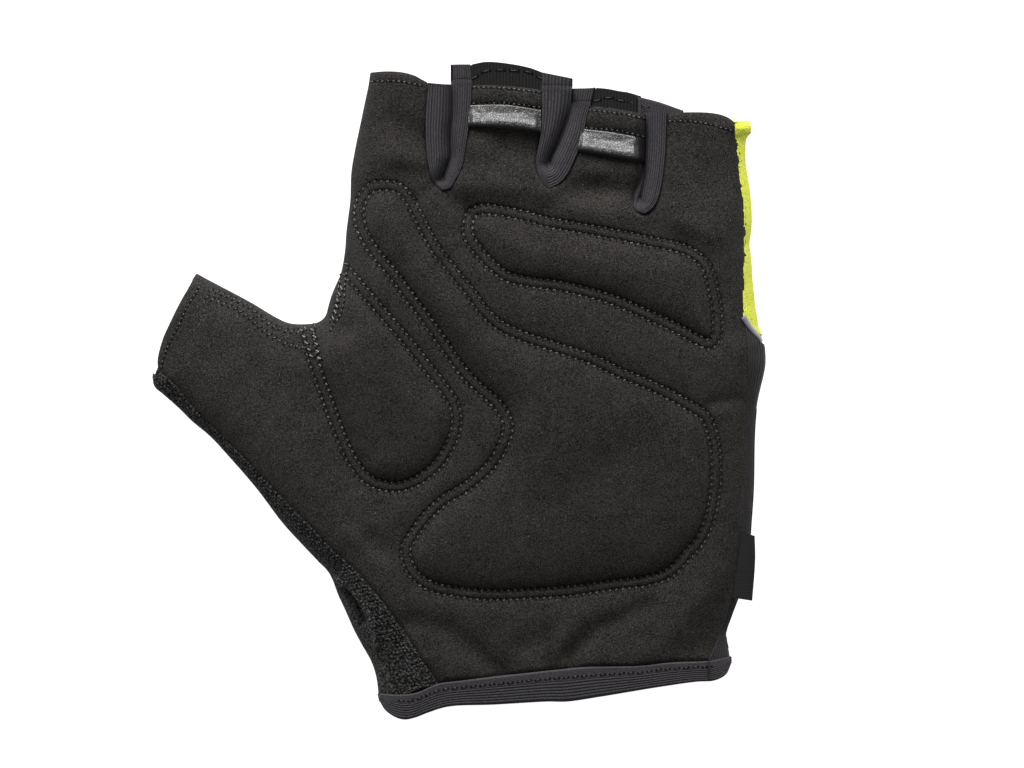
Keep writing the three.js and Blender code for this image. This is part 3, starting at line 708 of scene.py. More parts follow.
# Materials.
def node_material(name, roughness, metallic=0.0, sheen=0.0, specular=0.5, coat=0.0):
    """A new node material with its shader, and a function that adds nodes to it."""
    material = bpy.data.materials.new(name)
    material.use_nodes = True
    tree = material.node_tree
    shader = tree.nodes["Principled BSDF"]
    shader.inputs["Roughness"].default_value = roughness
    shader.inputs["Metallic"].default_value = metallic
    shader.inputs["Sheen Weight"].default_value = sheen
    shader.inputs["Sheen Roughness"].default_value = 0.5
    shader.inputs["Specular IOR Level"].default_value = specular
    shader.inputs["Coat Weight"].default_value = coat
    place = tree.nodes.new("ShaderNodeTexCoord")
    materials[name] = material

    def add(kind, inputs=None, **settings):
        node = tree.nodes.new("ShaderNode" + kind)
        for key, value in settings.items():
            setattr(node, key, value)
        for key, value in (inputs or {}).items():
            if isinstance(value, bpy.types.NodeSocket):
                tree.links.new(value, node.inputs[key])
            else:
                node.inputs[key].default_value = value
        return node

    add.place = place.outputs["Object"]
    add.shader = shader
    add.link = tree.links.new
    return add


def grain(add, size, detail=2.0, roughness=0.5):
    """Noise with features of the size in millimetres."""
    inputs = {"Vector": add.place, "Scale": 1 / (size * MM), "Detail": detail, "Roughness": roughness}
    return add("TexNoise", inputs).outputs["Fac"]


def between(add, value, low, high, dark, light):
    """A colour that runs from dark to light as a value runs from low to high."""
    share = add("MapRange", {"Value": value, "From Min": low, "From Max": high}).outputs[0]
    mix = add("Mix", {"Factor": share}, data_type="RGBA")
    mix.inputs["A"].default_value = (*dark, 1)
    mix.inputs["B"].default_value = (*light, 1)
    return mix.outputs["Result"]


def speckled(add, base, value, low, high, colour):
    """Specks of a colour over a base where a value is high."""
    share = add("MapRange", {"Value": value, "From Min": low, "From Max": high}).outputs[0]
    mix = add("Mix", {"Factor": share, "A": base}, data_type="RGBA")
    mix.inputs["B"].default_value = (*colour, 1)
    return mix.outputs["Result"]


def dyed(add, colour):
    """Gives the shader its colour."""
    add.link(colour, add.shader.inputs["Base Color"])


def roughened(add, height, depth, strength):
    """Gives the shader a bump of the depth in millimetres."""
    inputs = {"Height": height, "Distance": depth * MM, "Strength": strength}
    add.link(add("Bump", inputs).outputs[0], add.shader.inputs["Normal"])


def total(add, first, second, share):
    """One value plus a share of another."""
    scaled = add("Math", {0: second, 1: share}, operation="MULTIPLY").outputs[0]
    return add("Math", {0: first, 1: scaled}, operation="ADD").outputs[0]


def toned(add, base):
    """A colour times the piece's tone attribute, which carries its painted shade and highlights as well as its
    own variation.
    """
    tone = add("Attribute", attribute_name="tone").outputs["Fac"]
    return add("VectorMath", {0: base, "Scale": tone}, operation="SCALE").outputs["Vector"]


def suede_material():
    add = node_material("suede", 0.95, sheen=0.03, specular=0.08)
    fine = grain(add, 0.2, 2, 0.6)
    fibre = grain(add, 0.38, 2, 0.6)
    tone = total(add, total(add, fine, fibre, 0.8), grain(add, 5, 2, 0.5), 0.16)
    base = between(add, tone, 0.8, 1.17, (0.0025, 0.0023, 0.0021), (0.044, 0.0405, 0.038))
    specks = grain(add, 0.3, 1, 0.5)
    base = speckled(add, base, specks, 0.68, 0.78, (0.13, 0.12, 0.108))
    dyed(add, toned(add, base))
    roughened(add, total(add, fine, grain(add, 0.8, 2), 0.6), 0.2, 0.9)


def elastic_material():
    add = node_material("elastic", 0.8, sheen=0.03, specular=0.1)
    fibre = grain(add, 0.2, 2, 0.6)
    base = between(add, fibre, 0.38, 0.64, (0.02, 0.0182, 0.0208), (0.06, 0.0565, 0.0615))
    dyed(add, toned(add, base))
    roughened(add, fibre, 0.1, 0.7)


def terry_material():
    add = node_material("terry", 0.95, sheen=0.05, specular=0.1)
    loops = add("TexVoronoi", {"Vector": add.place, "Scale": 1 / (0.55 * MM)}).outputs["Distance"]
    base = between(add, loops, 0.1, 0.65, (0.085, 0.083, 0.08), (0.006, 0.006, 0.006))
    dyed(add, toned(add, base))
    raised = add("Math", {0: 1.0, 1: loops}, operation="SUBTRACT").outputs[0]
    roughened(add, total(add, raised, grain(add, 0.25, 2), 0.5), 0.4, 0.9)


def bright_material():
    add = node_material("bright", 0.85, sheen=0.05, specular=0.15)
    cell = add("TexVoronoi", {"Vector": add.place, "Scale": 1 / (0.42 * MM)}).outputs["Distance"]
    base = between(add, cell, 0.05, 0.75, (0.84, 0.89, 0.11), (0.6, 0.66, 0.045))
    base = speckled(add, base, grain(add, 2.5, 3), 0.6, 0.85, (0.86, 0.9, 0.2))
    dyed(add, toned(add, base))
    raised = add("Math", {0: 1.0, 1: cell}, operation="SUBTRACT").outputs[0]
    roughened(add, raised, 0.2, 0.8)


def reflective_material():
    add = node_material("reflective", 0.34, metallic=0.25, specular=0.6)
    beads = grain(add, 0.12, 2, 0.6)
    base = between(add, beads, 0.3, 0.7, (0.16, 0.165, 0.19), (0.34, 0.345, 0.38))
    dyed(add, base)
    roughened(add, beads, 0.04, 0.6)


def gusset_material():
    add = node_material("gusset", 0.8, sheen=0.03, specular=0.1)
    fibre = grain(add, 0.2, 2, 0.6)
    base = between(add, fibre, 0.35, 0.7, (0.012, 0.0112, 0.0122), (0.046, 0.043, 0.046))
    dyed(add, toned(add, base))
    roughened(add, fibre, 0.08, 0.6)


def knit_material():
    add = node_material("knit", 0.85, sheen=0.02, specular=0.1)
    wales = add(
        "TexWave",
        {"Vector": add.place, "Scale": 1 / (2.6 * MM), "Distortion": 0.6, "Detail": 1.0},
        wave_type="BANDS", bands_direction="X",
    ).outputs["Fac"]
    fibre = grain(add, 0.22, 2, 0.6)
    tone = total(add, fibre, wales, 0.35)
    base = between(add, tone, 0.4, 0.95, (0.007, 0.0068, 0.0072), (0.02, 0.0195, 0.0205))
    dyed(add, base)
    roughened(add, total(add, wales, fibre, 0.5), 0.15, 0.6)


def leather_material():
    add = node_material("leather", 0.33, specular=0.5, coat=0.45)
    add.shader.inputs["Coat Roughness"].default_value = 0.25
    cells = add("TexVoronoi", {"Vector": add.place, "Scale": 1 / (0.6 * MM)}, feature="DISTANCE_TO_EDGE")
    pores = grain(add, 0.45, 2, 0.5)
    base = between(add, pores, 0.3, 0.7, (0.009, 0.009, 0.0092), (0.02, 0.02, 0.0205))
    dyed(add, base)
    pebbles = add("MapRange", {"Value": cells.outputs["Distance"], "From Max": 0.18}).outputs[0]
    rough = total(add, total(add, pebbles, pores, 0.6), grain(add, 2.5, 2), 1.5)
    roughened(add, rough, 0.1, 0.7)


def thread_material():
    add = node_material("thread", 0.6, sheen=0.05, specular=0.3)
    twist = grain(add, 0.3, 1, 0.5)
    base = between(add, twist, 0.35, 0.68, (0.034, 0.033, 0.034), (0.165, 0.16, 0.16))
    dyed(add, toned(add, base))
    roughened(add, twist, 0.05, 0.6)


# Near-black discs at the stitches' ends: painted shade for the needle holes.
def hole_shade_material():
    add = node_material("painted_hole_shade", 0.9, specular=0.05)
    base = between(add, grain(add, 0.3, 1), 0.3, 0.7, (0.003, 0.003, 0.003), (0.008, 0.008, 0.008))
    dyed(add, base)


def label_material():
    add = node_material("label", 0.6, sheen=0.02, specular=0.2)
    weave = add(
        "TexWave",
        {"Vector": add.place, "Scale": 1 / (1.4 * MM), "Distortion": 0.2},
        wave_type="BANDS", bands_direction="Y",
    ).outputs["Fac"]
    fibre = grain(add, 0.15, 2, 0.6)
    tone = total(add, weave, fibre, 0.6)
    base = between(add, tone, 0.3, 1.2, (0.004, 0.004, 0.0042), (0.013, 0.013, 0.0135))
    dyed(add, base)
    roughened(add, tone, 0.05, 0.6)


for make in (
    suede_material, elastic_material, terry_material, bright_material, reflective_material,
    gusset_material, knit_material, leather_material, thread_material, hole_shade_material, label_material,
):
    make()


# The camera looks straight down, as in the photograph.
def make_camera():
    camera = bpy.data.objects.new("camera", bpy.data.cameras.new("camera"))
    bpy.context.scene.collection.objects.link(camera)
    distance = 6.0  # metres
    sensor = 36
    x, y = plan(PHOTO_SIZE[0] / 2, PHOTO_SIZE[1] / 2)
    camera.location = (x * MM, y * MM, distance)
    camera.data.sensor_width = sensor
    camera.data.lens = sensor * (distance - PALM_TOP * MM) / (PHOTO_SIZE[0] * PIXEL * MM)
    camera.data.clip_end = 20
    bpy.context.scene.camera = camera


def area_light(name, location, size, power):
    """A rectangular light that faces the glove."""
    light = bpy.data.lights.new(name, "AREA")
    light.shape = "RECTANGLE"
    light.size, light.size_y = size
    light.energy = power
    obj = bpy.data.objects.new(name, light)
    obj.location = location
    obj.rotation_euler = (-Vector(location)).to_track_quat("-Z", "Y").to_euler()
    bpy.context.scene.collection.objects.link(obj)


def make_studio():
    floor_mesh = bpy.data.meshes.new("floor")
    reach = 4
    floor_mesh.from_pydata(
        [(-reach, -reach, 0), (reach, -reach, 0), (reach, reach, 0), (-reach, reach, 0)], [], [(0, 1, 2, 3)]
    )
    floor = bpy.data.objects.new("floor", floor_mesh)
    bpy.context.scene.collection.objects.link(floor)
    # A lit table, so that the glove's shadow hardly shows, as in the photograph.
    add = node_material("floor", 0.9, specular=0.1)
    base = between(add, grain(add, 200, 1), 0.3, 0.7, (0.32, 0.32, 0.32), (0.34, 0.34, 0.34))
    dyed(add, base)
    add.shader.inputs["Emission Color"].default_value = (1, 1, 1, 1)
    add.shader.inputs["Emission Strength"].default_value = 0.97
    floor_mesh.materials.append(materials["floor"])
    area_light("key", (-0.2, 1.45, 0.95), (2.0, 0.8), 66)
    world = bpy.data.worlds.new("world")
    world.use_nodes = True
    world.node_tree.nodes["Background"].inputs["Color"].default_value = (1, 1, 1, 1)
    world.node_tree.nodes["Background"].inputs["Strength"].default_value = 0.27
    bpy.context.scene.world = world
    bpy.context.scene.view_settings.view_transform = "Standard"


# The palm.
def palm_outline():
    """The suede's outline, clockwise from the thumb's end."""
    web = side_lines["web"]
    borders = [[smooth(pixels) for pixels in pair] for pair in TAPE_BORDERS]
    first, second, third = borders
    parts = [smooth(THUMB_END), web, smooth(INDEX_END)]
    parts += [first[0], cut(first[1], (472, 84))[::-1], smooth(MIDDLE_END)]
    parts += [cut(second[0], (541.5, 90)), cut(second[1], (590, 106))[::-1], smooth(RING_END)]
    parts += [third[0], third[1][::-1], smooth(LITTLE_END)]
    parts += [scalloped(smooth(BRIGHT_SEAM), 2.0, 0.3), smooth(GUSSET_SEAM)]
    cuff = smooth(CUFF_TOP)
    right, left = np.array(plan(*GUSSET_SEAM[-1])), np.array(plan(*THUMB_SEAM[-1]))
    cuff = cuff[(cuff[:, 0] < right[0]) & (cuff[:, 0] > left[0])][::-1]
    parts += [cuff, smooth(THUMB_SEAM)[::-1]]
    outline = joined(*parts)
    while np.linalg.norm(outline[-1] - outline[0]) < 0.12:
        outline = outline[:-1]
    return outline


HEM_BANDS = [
    [(470, 94), (505, 95), (543, 99)],
    [(588, 118), (615, 121), (647, 126)],
]
HEM_HALF = 2.1
HEM_RISE = 0.75


def turned_edges(spots):
    """The suede's sewn edges turn down, and the hem bands stand up."""
    seams = [TAPE_BORDERS[0][0], TAPE_BORDERS[0][1], TAPE_BORDERS[1][0], TAPE_BORDERS[1][1]]
    seams += [TAPE_BORDERS[2][0], TAPE_BORDERS[2][1], BRIGHT_SEAM, GUSSET_SEAM, THUMB_SEAM, CUFF_TOP]
    seams += [THUMB_END, INDEX_END, MIDDLE_END, RING_END, LITTLE_END]
    distance = np.minimum.reduce([Track(smooth(s)).near(spots)[0] for s in seams])
    relief = -0.7 * (1 - dome(distance / 1.0))
    for pixels in HEM_BANDS:
        across = Track(extended(smooth(pixels), 3, 3)).near(spots)[0]
        relief += HEM_RISE * dome((HEM_HALF - across) / HEM_HALF)
    return relief


def make_palm():
    rows = []
    for line, closed, sign in zip(pad_lines, pad_closed, pad_sides):
        for offset in (-1.5, -0.9, -0.4, 0, 0.4, 0.9, 1.45, 1.95, 2.35, 2.75, 3.3, 4.0):
            rows.append(resample(beside(line, offset * sign, closed), 0.5 * COARSE))
    for name, sign in (("web", -1), ("right", -1)):
        for offset in (0.06, 0.22, 0.5, 0.9, 1.4, 2.0, 2.8):
            rows.append(resample(beside(side_lines[name], sign * offset), 0.7 * COARSE))
    spots, faces = mesh_plan(palm_outline(), 0.8 * COARSE, rows)
    heights = top_of(spots) + turned_edges(spots)
    heights = np.maximum(heights, SEAM)
    vertices = np.column_stack([spots, heights])
    obj = object_of("suede_palm", vertices, faces, thickness=SUEDE_WALL, tone=suede_painted_shading(spots))
    dress(obj, "suede", ["palm_panel"])


def plain_top(lift=0.0):
    """The palm side's smooth height, for pieces that aren't suede."""
    return lambda spots: top_of(spots, detail=False) + lift


ARM_STEPS = int(105 / COARSE)
TURN_STEPS = int(46 / COARSE)
TAPE_RIBS = 9
# How far an arm drops past the palm's finger end, and over what length, in millimetres.
ARM_DROP = 4.5
ARM_DROP_RUN = 1.1


def strap_top(ends):
    """The height of a tape's face, which drops to the back past the palm's finger ends."""

    def height(spots):
        face = top_of(spots, detail=False) + 0.1
        return face - ARM_DROP * eased((spots[:, 1] - ends) / ARM_DROP_RUN)

    return height


def make_tapes():
    names = ["index_middle", "middle_ring", "ring_little"]
    counts = [ARM_STEPS, TURN_STEPS, ARM_STEPS]
    rows = zip(names, slit_lines, SLIT_TOPS, ARM_ENDS, TAPE_BORDERS, BACK_BORDERS)
    for name, slit, tops, ends, borders, backs in rows:
        half = 0.03
        left, right = (cut(slit, top) + [side * half, 0] for top, side in zip(tops, (-1, 1)))
        turn = np.linspace(math.pi, 2 * math.pi, TURN_STEPS)
        foot = slit[-1] + half * np.column_stack([np.cos(turn), np.sin(turn)])
        inner = matched([left, foot, right[::-1]], counts)
        outer = in_turn(*(smooth(b) for b in borders), 4.2, counts)
        back = in_turn(*(smooth(b) for b in backs), 4.2, counts)
        low, high = (plan(0, end)[1] for end in ends)
        limit = np.array([low] * ARM_STEPS + [1e3] * TURN_STEPS + [high] * (ARM_STEPS + 1))
        shares = [spaced(int(60 / COARSE)), list(spaced(int(26 / COARSE), crowd_end=False)) + [1.0]]
        relief = ribs(TAPE_RIBS, 0.3, 0.5, 0.35, painted_groove_shade=0.78)
        grid, tone, flip = strip([outer, inner, back], None, shares, [strap_top(limit), sole_of], relief)
        # Painted shade where each arm drops past the palm's finger end, darkest half way down the drop.
        past = (grid[..., 1] - limit[:, None]) / ARM_DROP_RUN
        tone *= 1 - 0.75 * np.exp(-(((past - 0.5) / 0.7) ** 2))
        grids, tones, flips = [grid], [tone.ravel()], [flip]
        if name == "ring_little":
            edges = [smooth(pixels) for pixels in RING_FLAP]
            flap = ribs(1, 0.0, 0.4, 0.2)
            level = [lambda spots: np.full(len(spots), SEAM - 2.5)]
            grid, tone, flip = strip(edges, int(50 / COARSE), [list(np.linspace(0, 1, 14))], level, flap)
            grids.append(grid)
            wave = np.abs(np.sin(np.arange(len(grid)) * 0.9))
            tones.append((0.7 + 0.4 * wave[:, None] * np.ones(grid.shape[:2])).ravel())
            flips.append(flip)
        vertices, faces = merged(grids, flips)
        obj = object_of(f"tape_{name}", vertices, faces, thickness=TAPE_WALL, tone=np.concatenate(tones))
        dress(obj, "elastic", [f"finger_tape_{name}"])


TERRY_FOLD = [(338, 580), (350, 590), (362, 603), (372, 624), (378, 645)]
TERRY_NOTCH = [(345, 590), (354, 603), (362, 620)]


def over_side(name, lines, steps, counts, dive, relief, thickness, look):
    """A cloth piece from the palm's seam over a side to the back; look is its material, a slot name that is not
    used, and its node.
    """
    front, under = (int(count / COARSE) for count in counts)
    shares = [spaced(front), list(spaced(under, crowd_end=False)) + [1.0]]
    grid, tone, flip = strip(lines, int(steps / COARSE), shares, [plain_top(dive), sole_of], relief)
    faces = grid_faces(grid, flip)
    obj = object_of(name, grid.reshape(-1, 3), faces, thickness=thickness, tone=tone)
    material, slot, node = look
    dress(obj, material, [node])


def loops_over(grid, size):
    """Noise of the size in millimetres over a grid of points."""
    return np.array([noise.noise(Vector(p) / size) for p in grid.reshape(-1, 3)]).reshape(grid.shape[:2])


def knobs(width, length, share, grid):
    """The terry's loops, in cords beside its seam and loose behind them, with one fold, painted lighter along
    its ridge and darker in its notch.
    """
    flat = grid[..., :2].reshape(-1, 2)
    loose = loops_over(grid, 0.62)
    cord = np.abs(np.sin(math.pi * width / 1.0))
    shift = 0.5 * np.floor(width / 1.0)
    knot = 0.5 + 0.5 * np.cos(2 * math.pi * (length / 1.05 + shift))
    near = np.exp(-((width / 7) ** 4))
    near_edge = np.minimum(width, width[:, -1:] - width)
    creases = (Track(smooth(pixels)) for pixels in (TERRY_FOLD, TERRY_NOTCH))
    ridge, notch = (crease.near(flat)[0].reshape(width.shape) for crease in creases)
    front = share < 1
    calm = quiet_side(width, share, 1.2)
    fold = (0.9 * np.exp(-((ridge / 0.8) ** 2)) - 1.2 * np.exp(-((notch / 1.2) ** 2))) * front
    rise = 0.3 * cord * knot * near * calm + 0.28 * loose * calm - 0.5 * (1 - dome(near_edge / 0.7))
    tone = 0.42 + 1.1 * cord * (0.35 + 0.65 * knot) * near + 0.5 * loose + 0.45 * (1 - near)
    # Painted highlight along the fold's ridge, and below it painted shade in the fold's notch.
    tone += 0.5 * np.exp(-((ridge / 0.5) ** 2)) * front
    lift = 0.35 * (1 - calm)
    shade = 1 - 0.6 * np.exp(-((notch / 1.1) ** 2)) * front
    return rise + fold * calm + lift, np.clip(tone, 0.15, 2) * shade


def quiet_side(width, share, reach):
    """From nearly 0 at the silhouette to 1 a reach away from it, so that the outline stays even."""
    side = int(np.argmin(np.abs(share[0] - 1)))
    return 1 - 0.9 * np.exp(-(((width - width[:, side : side + 1]) / reach) ** 2))


def make_terry():
    web = cut(side_lines["web"], None, (306, 324))
    back = joined(web, smooth(THUMB_BACK_SEAM))
    lines = [smooth(THUMB_SEAM), side_lines["thumb"], back]
    look = ("terry", "terry", "thumb_back_terry")
    over_side("terry_thumb", lines, 360, (50, 40), -0.1, knobs, TERRY_WALL, look)


def scalloped(line, pitch, depth):
    """The line with small waves, where stitches pull the edge in."""
    wave = depth * np.abs(np.sin(math.pi * arc_of(line) / pitch))
    return line + leftward(line) * wave[:, None]


def make_bright_side():
    top = beside(smooth(BRIGHT_SEAM), -0.7)
    side = cut(side_lines["right"], None, (761, 336))
    back = joined(smooth(BACK_BORDERS[2][1]), smooth(PIPING_BACK)[::-1])

    def relief(width, length, share, grid):
        """A rolled hem at the finger's end, and the knit's loops."""
        hem = 0.5 * dome((3.2 - length) / 1.7) * np.exp(-((width / 9) ** 4))
        loose = loops_over(grid, 0.7)
        wale = np.abs(np.sin(math.pi * width / 0.7))
        calm = quiet_side(width, share, 1.0)
        shade = 1 - 0.3 * np.exp(-(((length - 3.3) / 0.4) ** 2)) * np.ones(width.shape)
        lift = 0.4 * (1 - calm)
        tone = (0.86 + 0.14 * wale + 0.1 * loose) * shade
        return (hem + 0.1 * loose + 0.06 * wale) * calm + lift, tone

    look = ("bright", "bright_fabric", "side_panel_bright")
    over_side("bright_side", [top, side, back], 190, (22, 60), -0.35, relief, SIDE_WALL, look)


def make_gusset():
    top = beside(smooth(GUSSET_SEAM), -0.6)
    side = cut(side_lines["right"], (764, 345), None)
    lines = [top, side, smooth(GUSSET_BACK)]
    plain = ribs(7, 0.2, 0.5, 0.3, 0.15, 0.7)

    def relief(width, length, share, grid):
        """Ribs that fade out at the silhouette and at the ends."""
        rise, tone = plain(width, length, share, grid)
        ends = dome(length / 1.5)
        calm = quiet_side(width, share, 0.8)
        return (rise * calm + 0.25 * (1 - calm)) * ends, tone

    look = ("gusset", "ribbed_fabric", "side_gusset_ribbed")
    over_side("ribbed_gusset", lines, 220, (48, 26), -0.3, relief, SIDE_WALL, look)


def make_back():
    web = cut(side_lines["web"], (306, 324), None)[::-1]
    cuff = smooth(CUFF_TOP)
    left, right = plan(*THUMB_BACK_SEAM[-1]), plan(*GUSSET_BACK[-1])
    cuff = cuff[(cuff[:, 0] > left[0]) & (cuff[:, 0] < right[0])] - [0, 1.5]
    piping = cut(smooth(PIPING_BACK), (713, 403), None)
    ends = [smooth(pixels)[::-1] for pixels in BACK_ENDS]
    borders = [[smooth(pixels) for pixels in pair] for pair in BACK_BORDERS]
    outline = joined(
        smooth(THUMB_BACK_SEAM), cuff, cut(smooth(GUSSET_BACK), (713, 407), None)[::-1], piping,
        borders[2][0][::-1], ends[2], borders[1][1], borders[1][0][::-1], ends[1],
        borders[0][1], borders[0][0][::-1], ends[0], web,
    )
    rows = []
    for offset in (0.06, 0.22, 0.5, 0.9, 1.4, 2.0, 2.8):
        rows.append(resample(beside(side_lines["web"], -offset), 0.8 * COARSE))
    spots, faces = mesh_plan(outline, 1.5 * COARSE, rows)
    heights = sole_of(spots) + 0.08 * ripple(spots, 9, 5.5)
    heights = np.maximum(heights, 0.1)
    obj = object_of("knit_back", np.column_stack([spots, heights]), faces[:, ::-1], thickness=BACK_WALL)
    dress(obj, "knit", ["back_panel"])


def tube_along(path, sides, half_width, half_height, normals):
    """A flattened tube along a path in space, as a grid closed across."""
    way = np.gradient(path, axis=0)
    way /= np.linalg.norm(way, axis=1, keepdims=True)
    normals = normals - (normals * way).sum(1, keepdims=True) * way
    normals /= np.linalg.norm(normals, axis=1, keepdims=True)
    across = np.cross(way, normals)
    turn = np.arange(sides) * 2 * math.pi / sides
    grid = path[:, None] + half_width * np.cos(turn)[None, :, None] * across[:, None]
    return grid + half_height * np.sin(turn)[None, :, None] * normals[:, None]


def surface_normals(spots, height):
    """Unit normals of a height over spots of the plan, pointing up."""
    step = 0.15
    slope = [
        (height(spots + np.array(move)) - height(spots - np.array(move))) / (2 * step)
        for move in ((step, 0), (0, step))
    ]
    normal = np.column_stack([-slope[0], -slope[1], np.ones(len(spots))])
    return normal / np.linalg.norm(normal, axis=1, keepdims=True)


def capped(grid, start=0):
    """Faces over a tube's grid, with both ends closed."""
    columns = grid.shape[1]
    last = start + (len(grid) - 1) * columns
    faces = grid_faces(grid, loop=True, start=start)
    faces.append([start + j for j in range(columns)])
    faces.append([last + j for j in range(columns)][::-1])
    return faces


def make_piping():
    front = resample(smooth(PIPING_FRONT), 0.35 * COARSE)
    back = resample(smooth(PIPING_BACK), 0.6 * COARSE)
    top = np.column_stack([front, plain_top(0.25)(front)])
    sole = np.column_stack([back, np.maximum(sole_of(back) - 0.1, 0.3)])
    path = np.vstack([top[:-2], sole[2:]])
    up = surface_normals(front, plain_top())[:-2]
    down = -surface_normals(back, sole_of)[2:] * [-1, -1, 1]
    grid = tube_along(path, 14, 0.85, 0.5, np.vstack([up, down]))
    obj = object_of("grey_piping", grid.reshape(-1, 3), capped(grid), sharp=80)
    dress(obj, "reflective", ["reflective_piping"])


TAB_BACKS = [[(469, 105), (500, 104), (520, 106), (541, 110)], [(582, 128.5), (612, 132), (645.5, 138.5)]]
# The front edges of the middle and ring tabs, as pixels.
TAB_FRONTS = [[(468, 127), (505, 129), (541, 133)], [(577, 151.5), (612, 157.5), (645.5, 162.5)]]
# A tab's section from its hem forward: share of its width, and height over the finger in millimetres.
TAB_SECTION = [
    (0.0, 0.1), (0.01, 0.3), (0.15, 0.5), (0.35, 0.88), (0.55, 1.36), (0.7, 1.76), (0.8, 1.9), (0.87, 1.75),
    (0.93, 1.25), (0.98, 0.65), (0.99, 0.3), (0.9, 0.0), (0.5, -0.2), (0.1, -0.2),
]


def make_tabs():
    section = np.array(TAB_SECTION)
    section = np.vstack([section, section[:1]])
    section = resample(section * [6, 1], count=int(46 / COARSE) + 1)[:-1] / [6, 1]
    for name, backs, fronts in zip(("middle", "ring"), TAB_BACKS, TAB_FRONTS):
        count = int(110 / COARSE)
        back, front = (resample(smooth(pixels), count=count) for pixels in (backs, fronts))
        columns = []
        for share, rise in section:
            spots = back * (1 - share) + front * share
            along = np.linspace(0, 1, count)
            pinch = 1 - 0.5 * np.exp(-((along / 0.05) ** 2)) - 0.5 * np.exp(-(((1 - along) / 0.05) ** 2))
            wave = 0.12 * ripple(spots * [1, 3], 5, 2.2) + 0.05 * ripple(spots, 1.3, 6.1)
            height = top_of(spots, detail=False) + rise * pinch + wave * (rise > 0.2)
            columns.append(np.column_stack([spots, height]))
        grid = np.stack(columns, axis=1)
        obj = object_of(f"tab_{name}", grid.reshape(-1, 3), capped(grid), sharp=70)
        dress(obj, "leather", [f"pull_tab_{name}"])


def make_binding():
    count = int(420 / COARSE)
    share = (1 - np.cos(np.linspace(0, math.pi, count))) / 2
    lines = []
    for pixels in (CUFF_TOP, CUFF_LOW):
        line = smooth(pixels)
        arc = arc_of(line)
        half = np.column_stack([np.interp(share * arc[-1], arc, line[:, k]) for k in (0, 1)])
        lines.append(np.vstack([half, half[::-1][1:-1]]))
    front = np.arange(len(lines[0])) < count
    flat_share = 0.36
    rib_count = 6
    body = np.linspace(0.05, 0.93, int(62 / COARSE))
    wave = np.abs(np.sin(math.pi * rib_count * (body - flat_share) / (0.93 - flat_share)))
    wave = np.where(body > flat_share, wave, 0.75)
    # Each entry: share from top edge to low edge, rise off the cloth, and a painted light factor: a painted
    # highlight on the raised top edge, painted shade in the rib grooves and on the turned-under low edge.
    profile = [(0.0, -0.4, 1.0), (0.0, 0.1, 1.2), (0.02, 0.42, 1.45)]
    profile += [(at, 0.36 + 0.18 * w, 0.62 + 0.5 * w) for at, w in zip(body, wave)]
    profile += [(0.97, 0.3, 0.8), (0.995, 0.05, 0.7), (1.0, -0.3, 0.7), (0.99, -0.7, 0.7), (0.95, -1.1, 0.7)]
    profile += [(0.7, -CUFF_WALL, 0.7), (0.35, -CUFF_WALL, 0.7), (0.0, -CUFF_WALL, 0.7)]
    base = []
    for down, _, _ in profile:
        spots = lines[0] * (1 - down) + lines[1] * down
        height = np.where(front, top_of(spots, detail=False), sole_of(spots))
        base.append(np.column_stack([spots, height]))
    base = np.stack(base, axis=1)
    outer = base[:, 3 : 3 + len(body)]
    normal = normals_of(outer, ring=True)
    if normal[: count // 2, :, 2].mean() < 0:
        normal = -normal
    first, last = normal[:, :1], normal[:, -1:]
    normal = np.concatenate([first] * 3 + [normal] + [last] * (len(profile) - 3 - len(body)), axis=1)
    proud = np.array([rise for _, rise, _ in profile])
    tone = np.array([shade for _, _, shade in profile])
    join = plan(709, 668)
    crease = np.exp(-(((base[..., 0] - join[0]) / 0.5) ** 2)) * front[:, None]
    grid = base + normal * (proud[None, :, None] - 0.4 * crease[..., None])
    grid[..., 2] = np.maximum(grid[..., 2], 0.05)
    flip = normals_of(grid, ring=True, loop=True)[: count // 2, 10, 2].mean() < 0
    faces = grid_faces(grid, flip, ring=True, loop=True)
    # Painted shade along the crease at the join.
    shades = tone[None, :] * (1 - 0.4 * crease)
    obj = object_of("cuff_edge", grid.reshape(-1, 3), faces, tone=shades)
    dress(obj, "elastic", ["cuff_binding"])


LABEL_ROOT = [(741, 532), (738, 560), (733, 598)]
LABEL_TIP = [(755, 536), (755.5, 560), (752.5, 601)]


def make_label():
    count = int(60 / COARSE)
    root, tip = (resample(smooth(pixels), count=count) for pixels in (LABEL_ROOT, LABEL_TIP))
    seam = top_of(root, detail=False)
    columns = []
    outside = [(s, 0.28) for s in np.linspace(0, 0.97, 14)] + [(1.0, 0.14)]
    outside += [(s, 0.0) for s in np.linspace(0.97, 0, 8)]
    inside = [(s, 0.11) for s in np.linspace(0, 0.94, 8)] + [(0.96, 0.14)]
    inside += [(s, 0.17) for s in np.linspace(0.94, 0, 8)]
    for share, layer in outside + inside:
        spots = root * (1 - share) + tip * share
        droop = 0.1 - 0.9 * share**1.5
        height = seam.mean() + droop + layer + 0.1 * np.sin(np.linspace(0, 5, count)) * share
        columns.append(np.column_stack([spots, height]))
    grid = np.stack(columns, axis=1)
    obj = object_of("folded_label", grid.reshape(-1, 3), capped(grid), sharp=60)
    dress(obj, "label", ["side_label"])


def palm_surface(spots):
    """Height of the finished suede."""
    return np.maximum(top_of(spots) + turned_edges(spots), SEAM)


